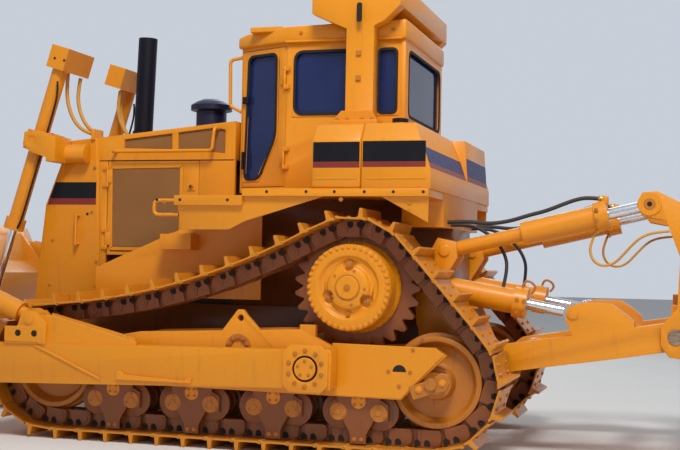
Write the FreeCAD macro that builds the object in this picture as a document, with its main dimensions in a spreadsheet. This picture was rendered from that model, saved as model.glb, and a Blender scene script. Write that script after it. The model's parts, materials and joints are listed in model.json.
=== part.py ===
"""Crawler bulldozer with a two-way pitching blade and a single-shank ripper.

X runs forward, Y to the driver's left and Z up from the ground. In the sizes X is counted
from the rear idler's centre, and every finished piece is moved back by row_origin_x, which
puts the origin on the ground under the middle of the machine. All lengths are millimetres.
"""
import FreeCAD, Part
import math
import os
import re
import Sketcher
from FreeCAD import Placement, Rotation, Vector

SIZES = [
    # alias, value, what it measures
    ("row_origin_x", 1988.5, "rear idler to the origin"),
    ("fit_gap", 0.05, "running clearance on a radius"),
    ("side_gap", 5, "free space beside a moving piece"),
    ("seat_gap", 0.3, "between faces that bear on each other"),
    ("hinge_radius", 12, "door hinges"),
    ("hinge_out", 17, "hinge pin outside the surface"),
    # running gear
    ("track_y", 1125, "middle of a track, half of the gauge"),
    ("wheel_base", 3470, "rear idler to front idler"),
    ("link_pitch", 242.1, "pin to pin"),
    ("link_count", 43, "links in one loop"),
    ("shoe_width", 610, "across the track"),
    ("shoe_seat", 60, "pin line to the shoe's inner face"),
    ("shoe_plate", 16, "thickness of a shoe"),
    ("grouser_height", 78, "lug above the shoe"),
    ("grouser_thick", 22, "lug at its tip"),
    ("rail_height", 86, "pin line to the rail's running face"),
    ("rail_near", 60, "middle of the chain to a rail's inner face"),
    ("rail_far", 125, "middle of the chain to a rail's outer face"),
    ("idler_chain", 474, "radius of the pins round an idler"),
    ("sprocket_x", 707, "sprocket centre"),
    ("sprocket_z", 1381, "sprocket centre"),
    ("sprocket_chain", 512, "radius of the pins round the sprocket"),
    ("tooth_count", 27, "sprocket teeth"),
    ("tooth_tip", 544, "radius over the teeth"),
    ("tooth_root", 474, "radius between the teeth"),
    ("tooth_half", 42, "half of the sprocket's thickness"),
    ("hub_neck", 300, "radius that the sprocket is bolted on"),
    ("hub_cover", 355, "radius of the final drive's cover"),
    ("hub_reach", 320, "middle of the track to the final drive's face"),
    ("idler_hub", 130, "radius of an idler's hub"),
    ("idler_half", 130, "half of an idler's tread"),
    ("idler_hub_half", 150, "half of an idler's hub"),
    ("idler_flange", 400, "radius of an idler's middle flange"),
    ("roller_tread", 125, "radius of a track roller"),
    ("roller_flange", 152, "radius of a roller's flange"),
    ("roller_groove", 108, "radius of a roller's middle"),
    ("roller_half", 165, "half of a roller's length"),
    ("roller_neck", 60, "radius of a roller's end collar"),
    ("first_pair", 625, "middle of the rearmost pair of rollers"),
    ("pair_pitch", 738, "pair to pair"),
    ("pair_count", 4, "pairs of rollers on a side"),
    ("roller_spacing", 345, "roller to roller in a pair"),
    ("bogie_thick", 40, "thickness of a bogie's cheek"),
    ("frame_low", 520, "underside of a track frame's beam"),
    ("frame_high", 1026, "highest edge of a track frame"),
    ("frame_front_high", 961, "top edge at the front"),
    ("frame_half", 275, "half width of a track frame"),
    ("cheek_thick", 70, "thickness of a frame's cheek"),
    ("lug_x", 1646, "tie-down eye"),
    ("lug_z", 1105, "tie-down eye"),
    ("lug_thick", 50, "tie-down eye"),
    ("lug_bore", 28, "radius of the tie-down eye"),
    # main frame
    ("hull_half", 450, "half width of the main frame"),
    ("case_half", 380, "half width of the rear case above the frame"),
    ("hull_low", 600, "underside of the belly guard"),
    ("hull_high", 1180, "top of the main frame"),
    ("hull_rear", -60, "rear face of the main frame"),
    ("hull_front", 3410, "front end of the main frame"),
    ("nose_x", 3820, "front face of the main frame's nose"),
    ("tow_x", 3890, "front tow pin"),
    ("tow_z", 860, "front tow pin"),
    ("tow_thick", 70, "front tow plate"),
    ("tow_bore", 30, "radius of the front tow bore"),
    ("case_front", 2120, "front of the case, where the engine begins"),
    # engine house
    ("house_half", 550, "half width of the engine house"),
    ("guard_half", 560, "half width of the radiator guard"),
    ("guard_rear", 3450, "rear edge of the radiator guard"),
    ("guard_top_x", 3762, "nose, top corner"),
    ("guard_top_z", 2702, "nose, top corner"),
    ("guard_mid_x", 4002, "nose, where it steepens"),
    ("guard_mid_z", 2087, "nose, where it steepens"),
    ("guard_low_x", 4095, "nose, bottom corner"),
    ("hose_port_x", 3525, "front of the block on the guard that the lift hoses plug into"),
    ("hood_front_z", 2728, "top of the hood at the front"),
    ("hood_rear_z", 2868, "top of the hood at the cab"),
    ("hood_rear_x", 2066, "rear end of the hood"),
    ("hood_split", 2510, "joint between hood and side doors"),
    ("door_low", 1620, "lower edge of the engine doors"),
    ("door_rear", 2423, "rear edge of the engine doors"),
    ("door_thick", 40, "thickness of the engine doors"),
    ("screen_deep", 22, "how far a screen lies back"),
    ("stack_x", 3420, "foot of the exhaust stack, which leans back a little"),
    ("stack_top_x", 3381, "top of the exhaust stack"),
    ("stack_y", -300, "exhaust stack"),
    ("stack_radius", 95, "exhaust stack"),
    ("stack_high", 3830, "top of the stack"),
    ("cleaner_x", 2634, "air precleaner"),
    ("cleaner_y", -220, "air precleaner"),
    ("cleaner_radius", 150, "body of the precleaner"),
    ("cleaner_brim", 204, "brim of the precleaner"),
    ("cleaner_high", 3179, "top of the precleaner"),
    # deck and tanks
    ("deck_out", 1400, "outer edge of the fenders"),
    ("deck_in", 800, "inner edge of the fenders beside the cab"),
    ("deck_high", 2192, "top of the rear fender"),
    ("deck_thick", 64, "depth of the fender's edge"),
    ("step_high", 2134, "top of the front platform"),
    ("step_thick", 86, "depth of the platform's edge"),
    ("deck_rear", 60, "rear end of the fender"),
    ("deck_step", 1660, "where the platform begins"),
    ("deck_front", 2280, "front end of the platform"),
    ("tank_out", 1380, "outer face of the tanks"),
    ("tank_high", 2740, "top of the tanks"),
    ("tank_bend", 2590, "where the tank's side leans inward"),
    ("tank_lean", 110, "how far the top edge lies back"),
    ("tank_front", 1060, "front end of the side tanks"),
    ("tank_split", 629, "joint between side tank and fuel tank"),
    ("tank_rear", 47, "rear face of the fuel tank at its foot"),
    ("tank_in", 800, "inner face of the side tanks"),
    ("tank_low", 1900, "underside of the fuel tank"),
    # cab
    ("cab_half", 760, "half width of the cab"),
    ("cab_rear", 425, "rear face of the cab"),
    ("cab_corner", 1500, "where the doors begin"),
    ("cab_front", 2022, "front face of the cab"),
    ("cab_nose", 530, "half width of the cab's front"),
    ("cab_low", 2205, "cab's sill"),
    ("cab_high", 3530, "top of the cab's walls"),
    ("cab_wall", 50, "thickness of the cab's walls"),
    ("sill_high", 2868, "lower edge of the side windows"),
    ("lintel_low", 3470, "upper edge of the windows"),
    ("glass_thick", 8, "window panes"),
    ("roof_rim", 30, "how far the roof stands out over the walls"),
    ("roof_high", 3715, "top of the roof"),
    # roll-over bar
    ("post_y", 885, "middle of a post"),
    ("post_thick", 150, "post, across the machine"),
    ("post_rear", 655, "rear face of a post"),
    ("post_front", 900, "front face of a post"),
    ("bar_rear", 425, "rear face of the cross box"),
    ("bar_front", 1215, "front face of the cross box"),
    ("bar_low", 3790, "underside of the cross box"),
    ("bar_high", 3990, "top of the cross box"),
    ("ear_low", 3600, "lowest point of the end plates"),
    # blade and push arms
    ("trunnion_x", 982, "push arm pivot"),
    ("trunnion_z", 728, "push arm pivot"),
    ("trunnion_radius", 90, "push arm pivot"),
    ("arm_reach", 427, "middle of the track to the middle of a push arm"),
    ("cap_half", 190, "half of the trunnion cap's width"),
    ("cap_thick", 30, "trunnion cap on the push arm"),
    ("arm_width", 175, "push arm, across the machine"),
    ("arm_rear_low", 564, "push arm behind"),
    ("arm_rear_high", 872, "push arm behind"),
    ("arm_front_low", 490, "push arm in front"),
    ("arm_front_high", 836, "push arm in front"),
    ("pitch_x", 4750, "blade pivot at the push arms"),
    ("pitch_z", 620, "blade pivot at the push arms"),
    ("pitch_pin", 55, "radius of the blade's pivot pins"),
    ("eye_width", 110, "eyes at the ends of arms and rods"),
    ("ear_thick", 45, "ears beside an eye"),
    ("blade_half", 2155, "half width of the blade"),
    ("blade_flat", 1430, "half width of its straight part"),
    ("wing_reach", 360, "how far the wings come forward"),
    ("blade_high", 1930, "top of the blade"),
    ("edge_low", 20, "cutting edge above the ground"),
    ("skin_thick", 48, "moldboard"),
    ("blade_top_x", 5520, "front of the moldboard at its top"),
    ("blade_belly_x", 5330, "front of the moldboard where it is deepest"),
    ("blade_belly_z", 1000, "height of its deepest place"),
    ("knee_x", 5560, "front of the moldboard at the cutting edge's top"),
    ("knee_z", 330, "top of the cutting edge"),
    ("edge_thick", 45, "cutting edge"),
    ("beam_back_x", 4970, "back of the blade's box beam"),
    ("brace_root_x", 4230, "brace at the right push arm"),
    ("brace_eye_y", 300, "brace at the blade"),
    ("brace_radius", 70, "diagonal brace"),
    # lift cylinders
    ("lift_y", 718, "middle of a lift cylinder"),
    ("yoke_x", 4000, "lift cylinder pivot"),
    ("yoke_z", 2680, "lift cylinder pivot"),
    ("lift_eye_x", 4580, "lift rod's eye on the blade"),
    ("lift_eye_z", 760, "lift rod's eye on the blade"),
    ("lift_barrel", 72, "radius of a lift barrel"),
    ("lift_rod", 38, "radius of a lift rod"),
    ("lift_above", 708, "barrel above its pivot"),
    ("lift_below", 870, "barrel below its pivot"),
    ("lift_sunk", 400, "pivot to the rod's inner end"),
    # tilt cylinders
    ("tilt_foot_x", 3498, "tilt cylinder on the push arm"),
    ("tilt_foot_z", 1050, "tilt cylinder on the push arm"),
    ("tilt_eye_x", 4880, "tilt rod on the blade"),
    ("tilt_eye_z", 1600, "tilt rod on the blade"),
    ("tilt_barrel", 88, "radius of a tilt barrel"),
    ("tilt_rod", 45, "radius of a tilt rod"),
    ("tilt_end", 1000, "pivot to the end of the tilt barrel"),
    ("tilt_sunk", 467, "pivot to the rod's inner end"),
    ("tilt_play", 4, "play of the tilt rod's open eye"),
    ("head_long", 216, "lift cylinder's valve block, along the cylinder"),
    ("head_half", 93, "half of the valve block's depth"),
    ("head_in", 383, "valve block, toward the middle of the machine"),
    ("head_out", 110, "valve block, outward"),
    ("yoke_thick", 50, "cheek of a lift cylinder's yoke"),
    # ripper
    ("ripper_y", 640, "middle of an arm and of the cylinders"),
    ("ripper_arm", 190, "arm, across the machine"),
    ("ripper_foot_x", -166, "lower arm on the tractor"),
    ("ripper_foot_z", 632, "lower arm on the tractor"),
    ("arm_fall", 0.1635, "fall of the arms' straight part toward the tractor, on 1"),
    ("ripper_beam_x", -1853, "lower arm on the beam"),
    ("ripper_beam_z", 1034, "lower arm on the beam"),
    ("tip_foot_x", 47, "tip cylinder on the tractor"),
    ("tip_foot_z", 1703, "tip cylinder on the tractor"),
    ("rise_foot_x", 200, "ripper lift cylinder on the tractor"),
    ("rise_foot_z", 1404, "ripper lift cylinder on the tractor"),
    ("rise_eye_x", -1030, "ripper lift rod on the arm"),
    ("rise_eye_z", 1202, "ripper lift rod on the arm"),
    ("rise_barrel", 105, "radius of a ripper lift barrel"),
    ("rise_rod", 48, "radius of a ripper lift rod"),
    ("rise_end", 850, "pivot to the end of its barrel"),
    ("rise_sunk", 371, "pivot to the rod's inner end"),
    ("tip_barrel", 100, "radius of a tip barrel"),
    ("tip_neck", 62, "radius of the tube before the barrel"),
    ("tip_rod", 48, "radius of a tip rod"),
    ("tip_start", 660, "pivot to the barrel"),
    ("tip_end", 1390, "pivot to the end of the barrel"),
    ("tip_sunk", 937, "pivot to the rod's inner end"),
    ("ripper_pin", 62, "radius of the ripper's pins"),
    ("ripper_boss", 130, "radius of the arms' rear eyes"),
    ("ripper_plate", 40, "side plates of bracket and beam"),
    ("shank_half", 45, "half of the shank's thickness"),
    ("shank_back", 240, "rear face of the shank behind the beam's pins"),
    ("shank_front", -40, "front face of the shank from the beam's pins"),
    ("rail_radius", 16, "grab rails"),
    ("rail_bend", 40, "bend of the grab rails"),
    ("tooth_low", 210, "ripper tip above the ground"),
    ("lift_hose_radius", 18, "hoses of the lift cylinders"),
    ("tip_hose_radius", 17, "hoses of the tip cylinders"),
    ("loop_hose_radius", 11, "looped hoses from the tip cylinders to the beam"),
    ("rise_hose_radius", 15, "hoses of the ripper's lift cylinders"),
]

doc = FreeCAD.newDocument("bulldozer")
sheet = doc.addObject("Spreadsheet::Sheet", "Sizes")
for row, (alias, value, note) in enumerate(SIZES, start=1):
    sheet.set(f"A{row}", note)
    sheet.set(f"B{row}", str(value))
    sheet.setAlias(f"B{row}", alias)
doc.recompute()

NODES = []
LEFT, RIGHT = "left", "right"
AXIS_TURN = {"x": Rotation(Vector(0, 1, 0), 90), "y": Rotation(Vector(1, 0, 0), -90), "z": Rotation()}
WHEEL_TURN = {"x": Rotation(), "y": Rotation(Vector(0, 0, 1), 90), "z": Rotation(Vector(0, 1, 0), -90)}
PLANE_TURN = {"xy": Rotation(), "xz": Rotation(Vector(1, 0, 0), 90), "yz": Rotation(Vector(1, 1, 1), 120)}
PLANE_NORMAL = {"xy": "z", "xz": "y", "yz": "x"}


def named(expression):
    """Every name with an underscore is an alias of the sheet."""
    return re.sub(r"[a-z]+_\w+", r"Sizes.\g<0>", str(expression))


def bind(thing, prop, expression):
    thing.setExpression(prop, named(expression))
    return thing


def number(expression):
    """The present value of an expression, in millimetres or degrees."""
    found = sheet.evalExpression(named(expression))
    return float(getattr(found, "Value", found))


def block(x, y, z):
    """Box between a low and a high value on each axis."""
    solid = doc.addObject("Part::Box", "block")
    for axis, side, (low, high) in zip("xyz", ("Length", "Width", "Height"), (x, y, z)):
        bind(solid, side, f"({high}) - ({low})")
        bind(solid, "Placement.Base." + axis, low)
    return solid


def bar(axis, centre, radius, low, high):
    """Cylinder along an axis from low to high; centre holds its other two coordinates."""
    solid = doc.addObject("Part::Cylinder", "bar")
    solid.Placement = Placement(Vector(), AXIS_TURN[axis])
    bind(solid, "Radius", radius)
    bind(solid, "Height", f"({high}) - ({low})")
    others = [name for name in "xyz" if name != axis]
    for name, value in zip(others, centre):
        bind(solid, "Placement.Base." + name, value)
    bind(solid, "Placement.Base." + axis, low)
    return solid


def outline(points):
    """Closed sketch whose corners are tied to the sheet."""
    sketch = doc.addObject("Sketcher::SketchObject", "outline")
    spots = [Vector(number(u), number(v), 0) for u, v in points]
    rules = []
    for index, spot in enumerate(spots):
        sketch.addGeometry(Part.LineSegment(spot, spots[(index + 1) % len(spots)]), False)
    for index in range(len(spots)):
        following = (index + 1) % len(spots)
        rules.append(Sketcher.Constraint("Coincident", index, 2, following, 1))
    sketch.addConstraint(rules)
    for index, (u, v) in enumerate(points):
        for kind, value in (("DistanceX", u), ("DistanceY", v)):
            place = sketch.addConstraint(Sketcher.Constraint(kind, index, 1, number(value)))
            bind(sketch, f"Constraints[{place}]", value)
    return sketch


def plate(plane, points, low, high):
    """Outline in the xy, xz or yz plane, carried from low to high across it."""
    sketch = outline(points)
    sketch.Placement = Placement(Vector(), PLANE_TURN[plane])
    solid = doc.addObject("Part::Extrusion", "plate")
    solid.Base = sketch
    solid.DirMode = "Normal"
    solid.Solid = True
    bind(solid, "LengthFwd", f"({high}) - ({low})")
    start = high if plane == "xz" else low
    bind(sketch, "Placement.Base." + PLANE_NORMAL[plane], start)
    return solid


def wheel(profile, axis, x, y, z):
    """Profile of (along, radius) turned about the given axis."""
    sketch = outline(profile)
    solid = doc.addObject("Part::Revolution", "wheel")
    solid.Source = sketch
    solid.Axis = Vector(1, 0, 0)
    solid.Angle = 360
    solid.Solid = True
    solid.Placement = Placement(Vector(), WHEEL_TURN[axis])
    for name, value in (("x", x), ("y", y), ("z", z)):
        bind(solid, "Placement.Base." + name, value)
    return solid


def fuse(*solids):
    if len(solids) == 1:
        return solids[0]
    whole = doc.addObject("Part::MultiFuse", "fused")
    whole.Shapes = list(solids)
    whole.Refine = True
    return whole


def cut(base, *tools):
    rest = doc.addObject("Part::Cut", "cut")
    rest.Base = base
    rest.Tool = fuse(*tools) if len(tools) > 1 else tools[0]
    rest.Refine = True
    return rest


def group(*solids):
    several = doc.addObject("Part::Compound", "several")
    several.Links = list(solids)
    return several


def mirrored(solid):
    """The same piece on the machine's other side."""
    other = doc.addObject("Part::Mirroring", "mirrored")
    other.Source = solid
    other.Normal = Vector(0, 1, 0)
    return other


def shaped(name, shape):
    """A form made with Part's own functions."""
    thing = doc.addObject("Part::Feature", name)
    thing.Shape = shape
    return thing


def node(label, *solids):
    """A finished sub-part, moved back so that the origin lies under the machine's middle."""
    whole = doc.addObject("Part::Compound", label)
    whole.Links = list(solids)
    whole.Label = label
    bind(whole, "Placement.Base.x", "-row_origin_x")
    NODES.append(whole)
    return whole


def aimed(solid, foot, eye):
    """Moves a piece built along X from its pivot at the origin onto its pivot, aimed at an eye."""
    (foot_x, foot_z), (eye_x, eye_z) = foot, eye
    moved = doc.addObject("Part::Compound", "aimed")
    moved.Links = [solid]
    moved.Placement = Placement(Vector(), Rotation(Vector(0, 1, 0), 10))
    bind(moved, "Placement.Rotation.Angle", f"atan2({foot_z} - ({eye_z}); {eye_x} - ({foot_x}))")
    bind(moved, "Placement.Base.x", foot_x)
    bind(moved, "Placement.Base.z", foot_z)
    return moved


def span(foot, eye):
    """Distance from pivot to eye as an expression."""
    (foot_x, foot_z), (eye_x, eye_z) = foot, eye
    return f"sqrt(({eye_x} - ({foot_x}))^2 + ({eye_z} - ({foot_z}))^2)"


IDLER_Z = "idler_chain + shoe_seat + shoe_plate + grouser_height"
REAR_IDLER = ("0", IDLER_Z)
FRONT_IDLER = ("wheel_base", IDLER_Z)


# Track: its length fixes the sag of the upper run
def tangent_angle(first, second, first_radius, second_radius):
    """Direction of the outer normal where a belt leaves the first wheel for the second."""
    step = second - first
    lean = math.acos((first_radius - second_radius) / step.Length)
    return math.atan2(step.z, step.x) - lean


def chain_path():
    """Runs of the pin line: (length, centre, radius, first angle, turn) or a straight."""
    idler, drive = number("idler_chain"), number("sprocket_chain")
    rear = Vector(0, 0, number(IDLER_Z))
    front = Vector(number("wheel_base"), 0, number(IDLER_Z))
    sprocket = Vector(number("sprocket_x"), 0, number("sprocket_z"))
    down = tangent_angle(sprocket, rear, drive, idler)

    def runs(sag_radius):
        """The upper run hangs on an arc that touches the sprocket and the front idler."""
        step = sprocket - front
        near, far = idler + sag_radius, drive + sag_radius
        along = (near ** 2 - far ** 2 + step.Length ** 2) / (2 * step.Length)
        unit = step / step.Length
        side = Vector(unit.z, 0, -unit.x)
        height = math.sqrt(near ** 2 - along ** 2)
        sag = front + unit * along + side * height
        leave = math.atan2(sag.z - front.z, sag.x - front.x)
        meet = math.atan2(sag.z - sprocket.z, sag.x - sprocket.x)
        hang = (meet + math.pi) - (leave + math.pi)
        finish = down + 2 * math.pi if down < meet else down
        return [
            (number("wheel_base"), None, rear - Vector(0, 0, idler), 0, 0),
            (idler * (leave + math.pi / 2), front, idler, -math.pi / 2, 1),
            (sag_radius * abs(hang), sag, sag_radius, leave + math.pi, -1),
            (drive * (finish - meet), sprocket, drive, meet, 1),
            (math.sqrt((sprocket - rear).Length ** 2 - (drive - idler) ** 2), None,
             sprocket + Vector(math.cos(down), 0, math.sin(down)) * drive, down, 0),
            (idler * (1.5 * math.pi - (down % (2 * math.pi))), rear, idler, down, 1),
        ]

    wanted = number("link_pitch * link_count")
    low, high = 1500.0, 1e6
    for _ in range(60):
        middle = math.sqrt(low * high)
        if sum(run[0] for run in runs(middle)) > wanted:
            low = middle
        else:
            high = middle
    return runs(low)


def pin_places():
    """Pins at equal steps along the path."""
    runs = chain_path()
    pitch = sum(run[0] for run in runs) / number("link_count")
    places = []
    for count in range(int(number("link_count"))):
        left = count * pitch
        for length, centre, radius, angle, turn in runs:
            if left <= length:
                break
            left -= length
        if centre is None:
            heading = angle + (math.pi / 2 if angle else 0)
            places.append(radius + Vector(math.cos(heading), 0, math.sin(heading)) * left)
        else:
            spot = angle + turn * left / radius
            places.append(centre + Vector(math.cos(spot), 0, math.sin(spot)) * radius)
    return places


def track_solid():
    pins = pin_places()
    count = len(pins)
    seat, outer = number("shoe_seat"), number("shoe_seat + shoe_plate")
    lug_tip = outer + number("grouser_height")
    lug, pitch = number("grouser_thick"), number("link_pitch")
    # along the link, out of the pin line
    shoe = [(4, outer), (pitch - 3 * lug, outer), (pitch - 2.4 * lug, lug_tip),
            (pitch - 1.4 * lug, lug_tip), (pitch - 0.8 * lug, outer)]
    shoes, frames = [], []
    for index in range(count):
        start, end = pins[index], pins[(index + 1) % count]
        along = (end - start).normalize()
        frames.append((start, along, Vector(along.z, 0, -along.x)))
    for start, along, out in frames:
        shoes += [start + along * a + out * n for a, n in shoe]

    def offset(distance):
        ring = []
        for index, (start, along, out) in enumerate(frames):
            before = frames[index - 1][2]
            middle = (before + out).normalize()
            ring.append(start + middle * (distance / middle.dot(out)))
        return ring

    def ring(outer_points, inner_points, low, high):
        move = Vector(0, low, 0)
        wires = [Part.makePolygon([spot + move for spot in points + points[:1]])
                 for points in (outer_points, inner_points)]
        face = Part.makeFace(wires, "Part::FaceMakerBullseye")
        return face.extrude(Vector(0, high - low, 0))

    middle, half = number("track_y"), number("shoe_width") / 2
    near, far = number("rail_near"), number("rail_far")
    solid = ring(shoes, offset(seat), middle - half, middle + half)
    rails = [ring(offset(seat), offset(-number("rail_height")), middle + low, middle + high)
             for low, high in ((near, far), (-far, -near))]
    return solid.fuse(rails)


track = shaped("track", track_solid())
node("track_left", track)
node("track_right", mirrored(track))

# Sprockets: teeth that meet the bushings between the two rails
def sprocket_solid():
    teeth = int(number("tooth_count"))
    root, tip = number("tooth_root"), number("tooth_tip")
    step = 2 * math.pi / teeth
    # share of one tooth's pitch, radius
    tooth = [(0.06, root), (0.38, tip), (0.62, tip), (0.94, root)]
    spots = [Vector(radius * math.cos((index + share) * step), 0, radius * math.sin((index + share) * step))
             for index in range(teeth) for share, radius in tooth]
    move = Vector(number("sprocket_x"), number("track_y - tooth_half"), number("sprocket_z"))
    wire = Part.makePolygon([spot + move for spot in spots + spots[:1]])
    disc = Part.Face(wire).extrude(Vector(0, number("2 * tooth_half"), 0))
    bore = Part.makeCylinder(number("hub_neck"), number("2 * tooth_half"), move, Vector(0, 1, 0))
    return disc.cut(bore)


sprocket = shaped("sprocket", sprocket_solid())
node("sprockets", sprocket, mirrored(sprocket))

# Final drives: housing on the case, neck through the sprocket, cover outside it
final_drive = wheel([
    ("hull_half - track_y", "0"), ("hull_half - track_y", "hub_neck - 10"),
    ("-rail_far - 90", "hub_neck - 10"), ("-rail_far - 60", "hub_cover + 30"),
    ("-tooth_half", "hub_cover + 30"), ("-tooth_half", "hub_neck"), ("tooth_half", "hub_neck"),
    ("tooth_half", "hub_cover + 30"), ("rail_near", "hub_cover + 30"), ("rail_near + 40", "hub_cover"),
    ("hub_reach - 45", "hub_cover"), ("hub_reach - 20", "hub_cover - 25"),
    ("hub_reach - 20", "hub_cover - 95"), ("hub_reach - 45", "hub_cover - 115"),
    ("hub_reach - 45", "190"), ("hub_reach - 10", "170"),
    ("hub_reach", "130"), ("hub_reach", "0")],
    "y", "sprocket_x", "track_y", "sprocket_z")
node("final_drives", final_drive, mirrored(final_drive))

# Idlers: dished wheels with a middle flange between the rails
IDLER_TREAD = "sqrt(idler_chain^2 - (link_pitch / 2)^2) - rail_height"
idler_profile = [
    ("-idler_hub_half", "0"), ("-idler_hub_half", "idler_hub"), ("-55", "idler_hub + 20"),
    ("-40", "290"), ("-idler_half", "330"), ("-idler_half", IDLER_TREAD),
    ("-50", IDLER_TREAD), ("-42", "idler_flange"), ("42", "idler_flange"), ("50", IDLER_TREAD),
    ("idler_half", IDLER_TREAD), ("idler_half", "330"), ("40", "290"), ("55", "idler_hub + 20"),
    ("idler_hub_half", "idler_hub"), ("idler_hub_half", "0")]
idlers = group(*[wheel(idler_profile, "y", x, "track_y", IDLER_Z) for x in ("0", "wheel_base")])
node("idlers", idlers, mirrored(idlers))

# Track rollers in pairs, each pair in a bogie
ROLLER_Z = "shoe_seat + shoe_plate + grouser_height + rail_height + roller_tread"
roller_profile = [
    ("-roller_half", "0"), ("-roller_half", "roller_neck"), ("-rail_far - 30", "roller_flange"),
    ("-rail_far - 6", "roller_flange"), ("-rail_far - 2", "roller_tread"), ("-66", "roller_tread"),
    ("-58", "roller_groove"), ("58", "roller_groove"), ("66", "roller_tread"),
    ("rail_far + 2", "roller_tread"), ("rail_far + 6", "roller_flange"),
    ("rail_far + 30", "roller_flange"), ("roller_half", "roller_neck"), ("roller_half", "0")]
rollers, bogies = [], []
for pair in range(int(number("pair_count"))):
    middle_x = f"first_pair + {pair} * pair_pitch"
    for side in ("- roller_spacing / 2", "+ roller_spacing / 2"):
        rollers.append(wheel(roller_profile, "y", f"{middle_x} {side}", "track_y", ROLLER_Z))
    cheek = [(f"{middle_x} - 250", ROLLER_Z + " - 70"), (f"{middle_x} - 110", ROLLER_Z + " - 70"),
             (f"{middle_x}", ROLLER_Z + " - 20"), (f"{middle_x} + 110", ROLLER_Z + " - 70"),
             (f"{middle_x} + 250", ROLLER_Z + " - 70"), (f"{middle_x} + 250", ROLLER_Z + " + 70"),
             (f"{middle_x} + 90", "frame_low"), (f"{middle_x} - 90", "frame_low"),
             (f"{middle_x} - 250", ROLLER_Z + " + 70")]
    for side in ("-", "+"):
        low, high = (f"track_y {side} roller_half", f"track_y {side} (roller_half + bogie_thick)")
        if side == "-":
            low, high = high, low
        bogies.append(plate("xz", cheek, low, high))
rollers = group(*rollers)
bogies = group(*bogies)
node("track_rollers", rollers, mirrored(rollers))
node("bogies", bogies, mirrored(bogies))

# Track frames: a beam between two cheeks that fork round both idlers
ARM_Y = "track_y + arm_reach"
ARM_IN, ARM_OUT = f"{ARM_Y} - arm_width / 2", f"{ARM_Y} + arm_width / 2"
cheek_shape = [("-108", "854"), ("-13", "914"), ("829", "890"), ("1118", "frame_high"),
               ("2570", "frame_front_high"), ("wheel_base", "800"), ("wheel_base + 120", "740"),
               ("wheel_base + 120", "520"), ("257", "489")]
beam_shape = [("460", "frame_low"), ("460", "800"), ("980", "800"), ("1118", "frame_high - 66"),
              ("2570", "frame_front_high - 20"), ("3010", "860"), ("3010", "frame_low")]
CHEEK_IN, CHEEK_OUT = "track_y - frame_half", "track_y + frame_half"
lug_shape = [("lug_x - 190", "990"), ("lug_x - 55", "lug_z + 25"), ("lug_x - 20", "lug_z + 70"),
             ("lug_x + 25", "lug_z + 70"),
             ("lug_x + 60", "lug_z + 25"), ("lug_x + 180", "975")]
track_frame = cut(fuse(
    plate("xz", lug_shape, f"{CHEEK_OUT} - lug_thick", CHEEK_OUT),
    plate("xz", cheek_shape, f"{CHEEK_OUT} - cheek_thick", CHEEK_OUT),
    plate("xz", cheek_shape, CHEEK_IN, f"{CHEEK_IN} + cheek_thick"),
    plate("xz", beam_shape, f"{CHEEK_IN} + cheek_thick", f"{CHEEK_OUT} - cheek_thick"),
    bar("y", ("trunnion_x", "trunnion_z"), "trunnion_radius", CHEEK_OUT, f"{ARM_OUT} + cap_thick - 15"),
    bar("y", ("trunnion_x", "trunnion_z"), "trunnion_radius + 60", CHEEK_OUT, f"{CHEEK_OUT} + 40"),
    *[bar("y", (x, IDLER_Z), "idler_hub - 40", low, high) for x in ("0", "wheel_base")
      for low, high in (("track_y + idler_hub_half", f"{CHEEK_OUT} - cheek_thick"),
                        (f"{CHEEK_IN} + cheek_thick", "track_y - idler_hub_half"))]),
    bar("y", ("lug_x", "lug_z"), "lug_bore", f"{CHEEK_OUT} - lug_thick - 5", f"{CHEEK_OUT} + 5"))
node("track_frames", track_frame, mirrored(track_frame))

# Equaliser bar and pivot shaft carry the track frames
carriers = fuse(block(("2840", "3020"), ("hull_half", CHEEK_IN), ("hull_low + 90", "hull_low + 230")))
pivot_shaft = bar("y", ("1672", "880"), "110", "hull_half", CHEEK_IN)
node("equaliser_bar", carriers, mirrored(carriers), pivot_shaft, mirrored(pivot_shaft))

# Main frame with the rear case and the belly guard
main_frame = fuse(
    block(("hull_rear", "hull_front"), ("-hull_half", "hull_half"), ("hull_low", "hull_high")),
    block(("hull_rear + 110", "cab_rear + 20"), ("-case_half", "case_half"), ("hull_high", "tank_low")),
    block(("cab_rear + 20", "case_front"), ("-case_half", "case_half"), ("hull_high", "cab_low")),
    block(("hull_front", "nose_x"), ("-hull_half", "hull_half"), ("hull_low + 60", "hull_high")),
    block(("nose_x", "tow_x + 70"), ("-85", "85"), ("tow_z - tow_thick / 2", "tow_z + tow_thick / 2")))
node("main_frame", cut(main_frame,
                       bar("z", ("tow_x", "0"), "tow_bore", "tow_z - tow_thick", "tow_z + tow_thick")))
node("engine_block",
     block(("case_front", "3330"), ("-case_half", "case_half"), ("hull_high", "hood_split - 60")))

# Radiator guard with a slanted nose
guard_side = [("hull_front", "hull_high"), ("guard_rear", "hood_split"), ("guard_rear + 32", "hood_front_z"),
              ("guard_top_x", "guard_top_z"), ("guard_mid_x", "guard_mid_z"), ("guard_low_x", "hull_high")]
grille_side = [("guard_top_x - 40", "guard_top_z - 110"), ("guard_top_x + 200", "guard_top_z - 110"),
               ("guard_low_x + 50", "guard_mid_z"), ("guard_low_x + 50", "hull_high + 90"),
               ("guard_low_x - 90", "hull_high + 90"), ("guard_mid_x - 90", "guard_mid_z")]
radiator_guard = cut(
    plate("xz", guard_side, "-guard_half", "guard_half"),
    plate("xz", grille_side, "-guard_half + 90", "guard_half - 90"))
hose_port = block(("guard_rear + 40", "hose_port_x"), ("lift_y - 318", "lift_y - 133"),
                  ("hood_front_z - 20", "hood_front_z + 85"))
node("radiator_guard", fuse(radiator_guard, hose_port, mirrored(hose_port)))
bars = []
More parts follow.
